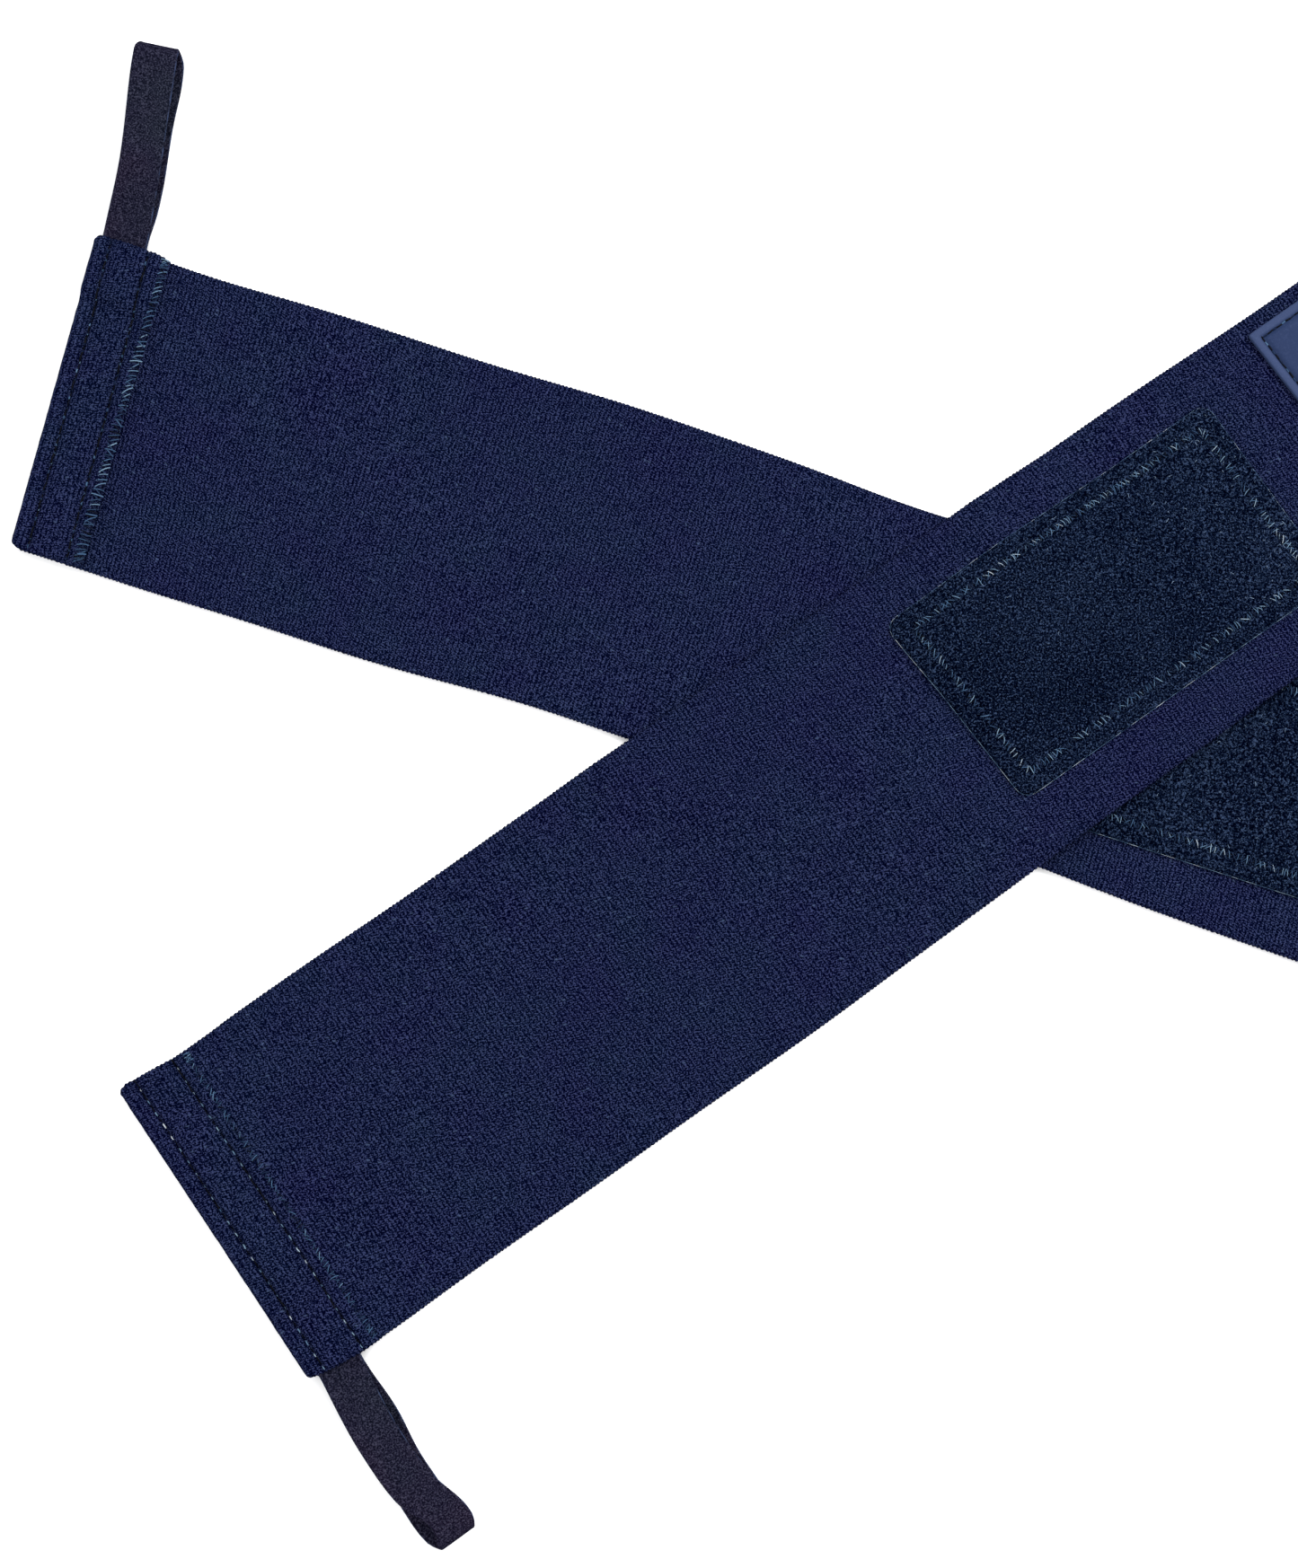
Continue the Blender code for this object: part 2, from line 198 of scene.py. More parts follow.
@dataclass(frozen=True)
class Signal:
    """An output socket that Python's operators do sums with."""

    graph: "Graph"
    socket: bpy.types.NodeSocket

    def __add__(self, other: Any) -> "Signal":
        """Self plus other."""
        return self.graph.math("ADD", self, other)

    def __radd__(self, other: Any) -> "Signal":
        """Other plus self."""
        return self.graph.math("ADD", other, self)

    def __sub__(self, other: Any) -> "Signal":
        """Self minus other."""
        return self.graph.math("SUBTRACT", self, other)

    def __rsub__(self, other: Any) -> "Signal":
        """Other minus self."""
        return self.graph.math("SUBTRACT", other, self)

    def __mul__(self, other: Any) -> "Signal":
        """Self times other."""
        return self.graph.math("MULTIPLY", self, other)

    def __rmul__(self, other: Any) -> "Signal":
        """Other times self."""
        return self.graph.math("MULTIPLY", other, self)

    def __truediv__(self, other: Any) -> "Signal":
        """Self over other."""
        return self.graph.math("DIVIDE", self, other)

    def __rtruediv__(self, other: Any) -> "Signal":
        """Other over self."""
        return self.graph.math("DIVIDE", other, self)

    def __mod__(self, other: Any) -> "Signal":
        """What is left of self after whole steps of other."""
        return self.graph.math("FLOORED_MODULO", self, other)

    def above(self, edge: Any) -> "Signal":
        """One where self is over the edge, and zero elsewhere."""
        return self.graph.math("GREATER_THAN", self, edge)

    def sine(self) -> "Signal":
        """The sine of self, in radians."""
        return self.graph.math("SINE", self)

    def floor(self) -> "Signal":
        """The whole number at or below self."""
        return self.graph.math("FLOOR", self)

    def size(self) -> "Signal":
        """Self without its sign."""
        return self.graph.math("ABSOLUTE", self)

    def held(self) -> "Signal":
        """Self kept from 0 to 1."""
        return self.graph.out("ShaderNodeClamp", {}, {0: self})


class Graph:
    """A node tree that is being built, for a surface or for geometry."""

    def __init__(self, tree: bpy.types.NodeTree) -> None:
        """Keeps the tree to build in."""
        self.tree = tree

    def feed(self, socket: bpy.types.NodeSocket, value: Any) -> None:
        """Links a signal or a socket to a socket, or sets the socket's own value.

        Args:
            socket: The input socket.
            value: A signal, an output socket or a plain value.
        """
        if isinstance(value, Signal):
            self.tree.links.new(value.socket, socket)
        elif isinstance(value, bpy.types.NodeSocket):
            self.tree.links.new(value, socket)
        else:
            socket.default_value = value

    def add(self, kind: str, settings: dict | None = None, inputs: dict | None = None) -> bpy.types.Node:
        """Adds a node.

        Args:
            kind: The node's type.
            settings: Its properties, set before its sockets; "stops" are a ramp's places and colours.
            inputs: Its sockets, by name or number, and what each gets.

        Returns:
            The node.
        """
        node = self.tree.nodes.new(kind)
        for key, value in (settings or {}).items():
            if key == "stops":
                ramp = node.color_ramp.elements
                while len(ramp) < len(value):
                    ramp.new(1.0)
                for stop, (place, colour) in zip(ramp, value):
                    stop.position, stop.color = place, (*colour, 1.0)
            else:
                setattr(node, key, value)
        for key, value in (inputs or {}).items():
            self.feed(node.inputs[key], value)
        return node

    def out(
        self, kind: str, settings: dict | None = None, inputs: dict | None = None, take: int | str = 0
    ) -> Signal:
        """Adds a node and gives one of its outputs.

        Args:
            kind: The node's type.
            settings: Its properties.
            inputs: Its sockets and what each gets.
            take: The output's name or number.

        Returns:
            The output as a signal.
        """
        return Signal(self, self.add(kind, settings, inputs).outputs[take])

    def math(self, operation: str, *values: Any) -> Signal:
        """The result of one Math node."""
        return self.out("ShaderNodeMath", {"operation": operation}, dict(enumerate(values)))

    def vector(self, operation: str, *values: Any) -> Signal:
        """The result of one Vector Math node."""
        return self.out("ShaderNodeVectorMath", {"operation": operation}, dict(enumerate(values)))

    def parts(self, vector: Signal) -> tuple[Signal, Signal, Signal]:
        """A vector's x, y and z."""
        node = self.add("ShaderNodeSeparateXYZ", {}, {0: vector})
        return tuple(Signal(self, socket) for socket in node.outputs)

    def joined(self, x: Any, y: Any, z: Any = 0.0) -> Signal:
        """A vector from its x, y and z."""
        return self.out("ShaderNodeCombineXYZ", {}, {0: x, 1: y, 2: z})


class Surface(Graph):
    """A material that is being built round one Principled shader."""

    def __init__(self, name: str) -> None:
        """Starts the material, with its shader and its output.

        Args:
            name: The material's name.
        """
        self.material = bpy.data.materials.new(name)
        self.material.use_nodes = True
        super().__init__(self.material.node_tree)
        self.tree.nodes.clear()
        self.shader = self.add("ShaderNodeBsdfPrincipled")
        self.add("ShaderNodeOutputMaterial", {}, {"Surface": self.shader.outputs[0]})

    def place(self) -> Signal:
        """Object coordinates, in metres."""
        return self.out("ShaderNodeTexCoord", take="Object")

    def strip(self) -> tuple[Signal, Signal]:
        """How far along and across its strip of cloth a point is, in metres."""
        along, across, _ = self.parts(self.out("ShaderNodeUVMap", {"uv_map": STRIP_MAP}))
        return along, across

    def tone(self) -> Signal:
        """The tone that each repeated piece was given."""
        return self.out("ShaderNodeAttribute", {"attribute_name": TONE}, take="Fac")

    def cloud(
        self, scale: float, detail: float = 2.0, rough: float = 0.5, at: Signal | None = None
    ) -> Signal:
        """Soft noise from 0 to 1.

        Args:
            scale: Features in a metre.
            detail: Octaves.
            rough: How strong the fine octaves are.
            at: Where it is read, or the object's own coordinates.

        Returns:
            The noise.
        """
        inputs = {"Vector": at or self.place(), "Scale": scale, "Detail": detail, "Roughness": rough}
        return self.out("ShaderNodeTexNoise", {}, inputs, take="Fac")

    def speck(self, *cell: Any) -> Signal:
        """A random number for each whole cell."""
        where = self.joined(*cell)
        return self.out("ShaderNodeTexWhiteNoise", {"noise_dimensions": "3D"}, {"Vector": where})

    def blend(self, factor: Any, first: Any, second: Any) -> Signal:
        """The first colour turning into the second.

        Args:
            factor: 0 for the first, 1 for the second.
            first: A colour or a signal.
            second: A colour or a signal.

        Returns:
            The mixed colour.
        """
        first, second = (value if isinstance(value, Signal) else (*value, 1.0) for value in (first, second))
        inputs = {0: factor, 6: first, 7: second}
        return self.out("ShaderNodeMix", {"data_type": "RGBA", "clamp_factor": True}, inputs, take=2)

    def ramp(self, factor: Signal, stops: tuple, hue: Any = 0.5) -> Signal:
        """A colour ramp, with its hue turned a little either side of 0.5."""
        colour = self.out("ShaderNodeValToRGB", {"stops": stops}, {0: factor})
        return self.out("ShaderNodeHueSaturation", {}, {"Hue": hue, "Color": colour})

    def bump(self, height: Signal, distance: float, strength: float = 1.0) -> Signal:
        """A normal from a height, with the distance that a height of one stands for."""
        inputs = {"Height": height, "Distance": distance, "Strength": strength}
        return self.out("ShaderNodeBump", {}, inputs)

    def finish(
        self, colour: Signal, roughness: Any, normal: Signal | None = None, **fixed: float
    ) -> bpy.types.Material:
        """Feeds the shader.

        Args:
            colour: The base colour.
            roughness: A number or a signal.
            normal: The bumped normal.
            fixed: The shader's own sockets that stay the same all over, by name with _ for a space.

        Returns:
            The material.
        """
        self.feed(self.shader.inputs["Base Color"], colour)
        self.feed(self.shader.inputs["Roughness"], roughness)
        if normal is not None:
            self.feed(self.shader.inputs["Normal"], normal)
        for name, value in fixed.items():
            self.shader.inputs[name.replace("_", " ")].default_value = value
        return self.material


def shade(red: float, green: float, blue: float) -> Colour:
    """The shader's linear colour for cloth that should look like this, on 0 to 255, in the studio's light.

    Args:
        red: The red that is seen, from 0 to 255.
        green: The green.
        blue: The blue.

    Returns:
        The linear colour.
    """
    def linear(value: float) -> float:
        """One channel."""
        value /= 255.0
        return (value / 12.92 if value <= 0.04045 else ((value + 0.055) / 1.055) ** 2.4) / STUDIO_GAIN
    return linear(red), linear(green), linear(blue)


# ---------------------------------------------------------------- finishes


@dataclass(frozen=True)
class Knit:
    """Ribbed elastic knit: cords across the band, each a row of small slanted stitches."""

    name: str = "knit_navy"
    rib: float = 0.97 * MM
    stitch: float = 0.57 * MM
    rib_drift: float = 0.6
    rib_wriggle: float = 0.8
    stitch_slant: float = 0.6
    stitch_drift: float = 1.4
    stitch_jolt: float = 1.9
    grain_gain: float = 2.6
    fuzz_gain: float = 2.2
    mid_tone: float = 0.46
    hue_drift: float = 0.04
    plain_share: float = 0.993
    relief: float = 0.34 * MM
    stops: tuple = (
        (0.0, shade(0, 4, 32)), (0.3, shade(9, 17, 49)), (0.55, shade(25, 34, 70)), (1.0, shade(66, 76, 118)),
    )
    speck_colour: Colour = shade(92, 112, 150)

    def build(self) -> bpy.types.Material:
        """Builds the material.

        Returns:
            The material.
        """
        s = Surface(self.name)
        along, across = s.strip()
        drift = s.cloud(90.0, 3.0) - 0.5
        wriggle = s.cloud(820.0, 2.0, 0.6) - 0.5
        jolt = s.cloud(640.0, 2.0, 0.6, s.vector("ADD", s.place(), (0.3, 0.7, 0.1))) - 0.5
        count = along / self.rib + drift * self.rib_drift + wriggle * self.rib_wriggle
        row = count.floor()
        inside = count - row
        lean = inside * self.stitch_slant + drift * self.stitch_drift + jolt * self.stitch_jolt
        step = across / self.stitch + (row % 2.0) * 0.5 + lean
        cell = step.floor()
        luck = s.speck(row, cell, 3.0)
        cord = (inside * math.pi).sine()
        bead = ((step - cell) * math.pi).sine()
        fuzz = s.cloud(4300.0, 1.0, 0.5)
        grain = s.cloud(3000.0, 0.0, 0.5)
        height = (cord * 0.55 + 0.45) * (bead * 0.72 + 0.28)
        mean_sine = 0.64
        # Painted shade: the colour darkens in the gaps between cords and between stitches and lightens on their
        # crowns.
        weave = (cord - mean_sine) * 0.55 + (bead - mean_sine) * (luck * 0.35 + 0.2)
        lit = weave + (grain - 0.5) * self.grain_gain + (fuzz - 0.5) * self.fuzz_gain + self.mid_tone
        colour = s.ramp(lit, self.stops, 0.5 + (s.cloud(55.0, 3.0, 0.6) - 0.47) * self.hue_drift)
        colour = s.blend(luck.above(self.plain_share) * bead * cord * 0.5, colour, self.speck_colour)
        normal = s.bump(height * 0.8 + fuzz * 0.5 + grain * 0.7, self.relief, 1.0)
        return s.finish(colour, 0.92, normal, Specular_IOR_Level=0.0)


@dataclass(frozen=True)
class Tape:
    """Narrow woven elastic tape, plum navy and finely pebbled, with a painted highlight along the cord at each edge.
    """

    name: str = "tape_plum"
    half_width: float = 5.0 * MM
    weft: float = 0.58 * MM
    cord_width: float = 0.20 * MM
    cord_blur: float = 0.15 * MM
    grain_gain: float = 1.9
    fuzz_gain: float = 1.5
    mid_tone: float = 0.47
    stops: tuple = (
        (0.0, shade(15, 15, 31)), (0.5, shade(37, 36, 56)), (1.0, shade(70, 69, 90)),
    )
    # The pale colour of the painted highlight on each edge cord.
    edge: Colour = shade(80, 98, 140)

    def build(self) -> bpy.types.Material:
        """Builds the material.

        Returns:
            The material.
        """
        s = Surface(self.name)
        along, across = s.strip()
        wriggle = s.cloud(900.0, 2.0) - 0.5
        weft = ((along / self.weft + wriggle * 2.2) * TAU).sine() * 0.5 + 0.5
        grain = s.cloud(2900.0, 0.0, 0.5)
        fuzz = s.cloud(4600.0)
        lit = (weft - 0.5) * 0.12 + (grain - 0.5) * self.grain_gain + (fuzz - 0.5) * self.fuzz_gain
        body = s.ramp(lit + self.mid_tone, self.stops, 0.5 - (s.cloud(45.0) - 0.5) * 0.16)
        # Painted highlight: a pale line along each edge cord, broken into patches.
        edge_highlight = (across.size() - (self.half_width - self.cord_width)) / self.cord_blur
        patchy = (s.cloud(300.0, 2.0) - 0.38) * 4.0
        colour = s.blend(edge_highlight.held() * patchy.held() * 0.75, body, self.edge)
        normal = s.bump(weft * 0.35 + grain * 1.1, 0.2 * MM, 0.9)
        return s.finish(colour, 0.88, normal, Specular_IOR_Level=0.0)


@dataclass(frozen=True)
class PileGround:
    """The dark woven ground that the soft loops stand in."""

    name: str = "pile_ground"
    stops: tuple = ((0.0, shade(0, 3, 22)), (0.5, shade(11, 24, 52)), (1.0, shade(74, 94, 130)))

    def build(self) -> bpy.types.Material:
        """Builds the material.

        Returns:
            The material.
        """
        s = Surface(self.name)
        curl = s.cloud(2300.0, 2.0, 0.6)
        fine = s.cloud(4200.0, 2.0, 0.6)
        lit = (curl - 0.5) * 4.5 + (fine - 0.5) * 2.0 + (s.cloud(38.0) - 0.5) * 0.4 + 0.36
        normal = s.bump(curl + fine * 0.3, 0.7 * MM)
        return s.finish(s.ramp(lit, self.stops), 0.95, normal, Specular_IOR_Level=0.0)


@dataclass(frozen=True)
class Yarn:
    """Fine yarn or thread whose pieces differ in tone, from deep to nearly white."""

    name: str
    stops: tuple[tuple[float, Colour], ...]
    roughness: float = 0.7
    gloss: float = 0.1
    drift: float = 0.0

    def build(self) -> bpy.types.Material:
        """Builds the material.

        Returns:
            The material.
        """
        s = Surface(self.name)
        twist = s.cloud(3200.0, 2.0, 0.6)
        tone = s.tone() + (twist - 0.5) * 0.22 + (s.cloud(38.0) - 0.5) * self.drift
        colour = s.out("ShaderNodeValToRGB", {"stops": self.stops}, {0: tone})
        normal = s.bump(twist, 0.08 * MM, 0.7)
        return s.finish(colour, self.roughness, normal, Specular_IOR_Level=self.gloss)


@dataclass(frozen=True)
class Rubber:
    """Soft moulded rubber, slate blue and smooth, a little chalky in its low places."""

    name: str = "rubber_slate"
    body: Colour = shade(32, 50, 90)
    worn: Colour = shade(44, 62, 104)
    chalk: Colour = shade(68, 84, 126)

    def build(self) -> bpy.types.Material:
        """Builds the material.

        Returns:
            The material.
        """
        s = Surface(self.name)
        broad = s.cloud(60.0, 3.0)
        fine = s.cloud(1900.0, 3.0, 0.6)
        colour = s.blend(((broad - 0.35) * 2.4).held(), self.body, self.worn)
        colour = s.blend(((fine - 0.5) * 1.6).held() + s.tone() * 0.7, colour, self.chalk)
        rough = 0.5 + broad * 0.2 + fine * 0.1
        return s.finish(colour, rough, s.bump(fine, 0.03 * MM, 0.6), Specular_IOR_Level=0.09)


@dataclass(frozen=True)
class HookGround:
    """The hook patch's woven ground."""

    name: str = "hook_ground"
    weave: float = 0.8 * MM
    deep: Colour = shade(7, 9, 22)
    fair: Colour = shade(30, 35, 62)

    def build(self) -> bpy.types.Material:
        """Builds the material.

        Returns:
            The material.
        """
        s = Surface(self.name)
        x, y, _ = s.parts(s.place())
        weave = (x / self.weave * TAU).sine() * (y / self.weave * TAU).sine() * 0.5 + 0.5
        grain = s.cloud(1600.0, 3.0)
        lit = (weave * 0.6 + (grain - 0.4)).held()
        normal = s.bump(weave + grain, 0.2 * MM, 0.7)
        return s.finish(s.blend(lit, self.deep, self.fair), 0.7, normal, Specular_IOR_Level=0.06)


@dataclass(frozen=True)
class Floor:
    """The plain pale floor."""

    name: str = "floor_pale"
    pale: Colour = (0.86, 0.86, 0.87)
    paler: Colour = (0.90, 0.90, 0.90)

    def build(self) -> bpy.types.Material:
        """Builds the material."""
        s = Surface(self.name)
        return s.finish(s.blend(s.cloud(3.0), self.pale, self.paler), 0.95, Specular_IOR_Level=0.0)


THREAD_STOPS = (
    (0.0, shade(1, 4, 16)), (0.3, shade(24, 42, 78)), (0.55, shade(82, 118, 158)),
    (0.8, shade(146, 180, 208)), (1.0, shade(226, 236, 246)),
)
PILE_STOPS = (
    (0.0, shade(0, 2, 19)), (0.42, shade(9, 19, 43)), (0.75, shade(33, 51, 86)),
    (0.92, shade(84, 106, 144)), (1.0, shade(156, 182, 214)),
)
HOOK_STOPS = ((0.0, shade(14, 17, 34)), (1.0, shade(62, 70, 104)))


class Finishes:
    """Every finish, built once."""

    def __init__(self) -> None:
        """Builds the materials."""
        self.knit = Knit().build()
        self.tape = Tape().build()
        self.pile_ground = PileGround().build()
        self.pile = Yarn("pile_yarn", PILE_STOPS, 0.9, 0.0, 0.45).build()
        self.thread = Yarn("sewing_thread", THREAD_STOPS, 0.5, 0.06, 0.5).build()
        self.rubber = Rubber().build()
        self.hook_ground = HookGround().build()
        self.hook = Yarn("hook_monofilament", HOOK_STOPS, 0.45, 0.08).build()
        self.floor = Floor().build()


# ---------------------------------------------------------------- geometry node trees


class Recipe(Graph):
    """A Geometry Nodes tree with named inputs, and a way to bake it into a plain mesh."""

    def __init__(self, name: str, inputs: dict[str, Any]) -> None:
        """Starts the tree.

        Args:
            name: The tree's name.
            inputs: Each input's name and its usual value; a whole number makes an integer input.
        """
        tree = bpy.data.node_groups.new(name, "GeometryNodeTree")
        super().__init__(tree)
        tree.interface.new_socket("Geometry", in_out="INPUT", socket_type="NodeSocketGeometry")
        self.keys: dict[str, str] = {}
        for label, value in {**inputs, "Material": None}.items():
            kind = {float: "NodeSocketFloat", int: "NodeSocketInt"}.get(type(value), "NodeSocketMaterial")
            socket = tree.interface.new_socket(label, in_out="INPUT", socket_type=kind)
            if value is not None:
                socket.default_value = value
            self.keys[label] = socket.identifier
        tree.interface.new_socket("Geometry", in_out="OUTPUT", socket_type="NodeSocketGeometry")
        self.source = tree.nodes.new("NodeGroupInput")
        self.sink = tree.nodes.new("NodeGroupOutput")

    def given(self, name: str) -> Signal:
        """One of the tree's inputs."""
        return Signal(self, self.source.outputs[name])

    def close(self, geometry: Signal) -> None:
        """Ends the tree with Realize Instances and Set Material."""
        real = self.out("GeometryNodeRealizeInstances", {}, {0: geometry})
        dress = {"Geometry": real, "Material": self.given("Material")}
        self.feed(self.sink.inputs[0], self.out("GeometryNodeSetMaterial", {}, dress))

    def chance(self, low: Any, high: Any, salt: int) -> Signal:
        """A random number for each piece, steady from run to run.

        Args:
            low: The lowest.
            high: The highest.
            salt: What keeps this draw apart from the tree's others.

        Returns:
            The number.
        """
        node = self.add("FunctionNodeRandomValue", {"data_type": "FLOAT"})
        self.feed(node.inputs[2], low)
        self.feed(node.inputs[3], high)
        self.feed(node.inputs["Seed"], self.given("Seed") + float(salt))
        return Signal(self, node.outputs[1])

    def toned(self, instances: Signal, tone: Signal) -> Signal:
        """The instances with each one's tone kept on it.

        Args:
            instances: The instances.
            tone: Each one's tone.

        Returns:
            The marked instances.
        """
        return self.out(
            "GeometryNodeStoreNamedAttribute", {"data_type": "FLOAT", "domain": "INSTANCE"},
            {"Geometry": instances, "Name": TONE, "Value": tone},
        )

    def wire(self, path: Signal, radius: Any, sides: int, capped: bool = True) -> Signal:
        """A round wire along a path.

        Args:
            path: The path as a curve.
            radius: The wire's radius.
            sides: Its flat sides.
            capped: Whether its ends are closed.

        Returns:
            The wire's mesh.
        """
        circle = {"Resolution": sides, "Radius": radius}
        ring = self.out("GeometryNodeCurvePrimitiveCircle", {"mode": "RADIUS"}, circle)
        sweep = {"Curve": path, "Profile Curve": ring, "Fill Caps": capped}
        mesh = self.out("GeometryNodeCurveToMesh", {}, sweep)
        return self.out("GeometryNodeSetShadeSmooth", {}, {"Geometry": mesh})

    def arch(self, length: Any, rise: Any, steps: int) -> Signal:
        """An arc that stands on its two ends, along X.

        Args:
            length: From end to end.
            rise: The height of its middle.
            steps: Points along it.

        Returns:
            The arc as a curve.
        """
        half = length * 0.5
        radius = (half * half + rise * rise) / (rise * 2.0)
        sweep = self.math("ARCSINE", half / radius) * 2.0
        arc = self.out(
            "GeometryNodeCurveArc", {"mode": "RADIUS"},
            {
                "Resolution": steps, "Radius": radius,
                "Start Angle": math.pi / 2 - sweep * 0.5, "Sweep Angle": sweep,
            },
        )
        move = self.joined(0.0, 0.0, rise - radius)
        return self.out(
            "GeometryNodeTransform", {},
            {"Geometry": arc, "Translation": move, "Rotation": (math.pi / 2, 0.0, 0.0)},
        )

    def bake(self, name: str, mesh: bpy.types.Mesh, **values: Any) -> bpy.types.Object:
        """Runs the tree on a mesh and keeps the result as a plain piece.

        Args:
            name: The piece's name.
            mesh: What the tree starts from.
            values: The inputs that differ from the usual, by name with _ for a space.

        Returns:
            The piece.
        """
        holder = bpy.data.objects.new(name + ".source", mesh)
        bpy.context.scene.collection.objects.link(holder)
        modifier = holder.modifiers.new("recipe", "NODES")
        modifier.node_group = self.tree
        for label, value in values.items():
            modifier[self.keys[label.replace("_", " ")]] = value
        graph = bpy.context.evaluated_depsgraph_get()
        baked = bpy.data.meshes.new_from_object(holder.evaluated_get(graph))
        baked.name = name
        bpy.data.objects.remove(holder, do_unlink=True)
        return piece(name, baked)


def piece(name: str, mesh: bpy.types.Mesh) -> bpy.types.Object:
    """A piece in the scene from its mesh, at the origin."""
    made = bpy.data.objects.new(name, mesh)
    bpy.context.scene.collection.objects.link(made)
    return made


class Ribs(Recipe):
    """Raises the knit's cords on a band, along its own length coordinate, and higher at its selvedges."""

    def __init__(self) -> None:
        """Builds the tree."""
        super().__init__("knit_ribs", {
            "Pitch": 0.97 * MM, "Depth": 0.035 * MM, "Selvedge": 2.4, "Selvedge Start": 34.5 * MM,
            "Selvedge Width": 2.0 * MM, "Unevenness": 2.0,
        })
        given = self.given
        named = {"data_type": "FLOAT_VECTOR"}
        strip = self.out("GeometryNodeInputNamedAttribute", named, {"Name": STRIP_MAP})
        along, across, _ = self.parts(strip)
        noise = {"Vector": strip, "Scale": 260.0, "Detail": 2.0}
        uneven = self.out("ShaderNodeTexNoise", {}, noise, take="Fac") * given("Unevenness")
        wave = ((along / given("Pitch") + uneven) * TAU).sine()
        edge = ((across.size() - given("Selvedge Start")) / given("Selvedge Width")).held()
        height = wave * given("Depth") * (edge * given("Selvedge") + 1.0)
        out = {"Vector": self.out("GeometryNodeInputNormal"), "Scale": height}
        push = self.out("ShaderNodeVectorMath", {"operation": "SCALE"}, out)
        self.close(self.out("GeometryNodeSetPosition", {}, {"Geometry": given("Geometry"), "Offset": push}))


@dataclass(frozen=True)
class Stitch:
    """A kind of stitch: its sizes in millimetres, its leans in radians and its tones from 0 to 1.

    Every other stitch turns the other way by the swing, is darker by the drop and longer by the stretch; the drop is
    painted shade on the stitches that lie sunk in the cloth.
    """

    pitch: float
    length: float
    rise: float
    radius: float
    swing: float = 0.0
    sway: float = 0.1
    low_tone: float = 0.1
    high_tone: float = 0.6
    turn_drop: float = 0.0
    turn_stretch: float = 0.0
    sink: float = 0.0

    def inputs(self) -> dict[str, float]:
        """The seam tree's inputs, with the sizes in metres.

        Returns:
            Each input's name and value.
        """
        sizes = ("pitch", "length", "rise", "radius", "sink")
        return {
            name.replace("_", " ").title(): value * (MM if name in sizes else 1.0)
            for name, value in asdict(self).items()
        }


class Seam(Recipe):
    """Lays arched stitches along a path, straight or leaning to either side by turns."""

    def __init__(self) -> None:
        """Builds the tree."""
        usual = Stitch(pitch=3.5, length=1.6, rise=0.25, radius=0.2).inputs()
        super().__init__("seam", {**usual, "Seed": 1})
        given = self.given
        path = self.out("GeometryNodeMeshToCurve", {}, {0: given("Geometry")})
        spacing = {"Curve": path, "Length": given("Pitch")}
        dots = self.add("GeometryNodeCurveToPoints", {"mode": "LENGTH"}, spacing)
        turn = self.out("GeometryNodeInputIndex") % 2.0
        side = turn * 2.0 - 1.0
        sway = given("Sway")
        angle = side * given("Swing") + self.chance(0.0 - sway, sway, 1)
        lean = self.joined(self.chance(-0.35, 0.35, 5), self.chance(0.0 - sway, sway, 2) * 0.6, angle)
        rotation = {
            "Rotation": self.facing(dots.outputs["Tangent"]),
            "Rotate By": self.out("FunctionNodeEulerToRotation", {}, {0: lean}),
        }
        turned = self.out("FunctionNodeRotateRotation", {"rotation_space": "LOCAL"}, rotation)
        stitch = self.wire(self.arch(given("Length"), given("Rise"), 6), given("Radius"), 5)
        down = self.joined(0.0, 0.0, self.chance(-0.5, 0.5, 4) * given("Sink") - given("Sink") * 0.5)
        shifted = {"Geometry": dots.outputs["Points"], "Offset": down}
        points = self.out("GeometryNodeSetPosition", {}, shifted)
        size = self.chance(0.82, 1.14, 3)
        laid = self.out("GeometryNodeInstanceOnPoints", {}, {
            "Points": points, "Instance": stitch, "Rotation": turned,
            "Scale": self.joined(size * (turn * given("Turn Stretch") + 1.0), size, size),
        })
        # Painted shade: every other stitch is darker by the turn drop, for the shadow where the thread sinks into the
        # cloth.
        tone = self.chance(given("Low Tone"), given("High Tone"), 6) - turn * given("Turn Drop")
        self.close(self.toned(laid, tone))

    def facing(self, tangent: bpy.types.NodeSocket) -> Signal:
        """The rotation that lays X along a tangent and keeps Z up.

        Args:
            tangent: The path's direction at each point.

        Returns:
            The rotation at each point.
        """
        flat = {"Vector": tangent}
        turned = self.out("FunctionNodeAlignRotationToVector", {"axis": "X", "pivot_axis": "Z"}, flat)
        tipped = {"Vector": tangent, "Rotation": turned}
        return self.out("FunctionNodeAlignRotationToVector", {"axis": "X", "pivot_axis": "Y"}, tipped)

    def lay(
        self, name: str, line: Array, stitch: Stitch, seed: int, thread: bpy.types.Material,
        closed: bool = False,
    ) -> bpy.types.Object:
        """Sews along a line.

        Args:
            name: The piece's name.
            line: The line's points.
            stitch: The kind of stitch.
            seed: What keeps this seam's random draws apart from the others'.
            thread: The thread's material.
            closed: Whether the line goes round.

        Returns:
            The stitches.
        """
        path = path_mesh(name + ".path", line, closed)
        return self.bake(name, path, Material=thread, Seed=seed, **stitch.inputs())


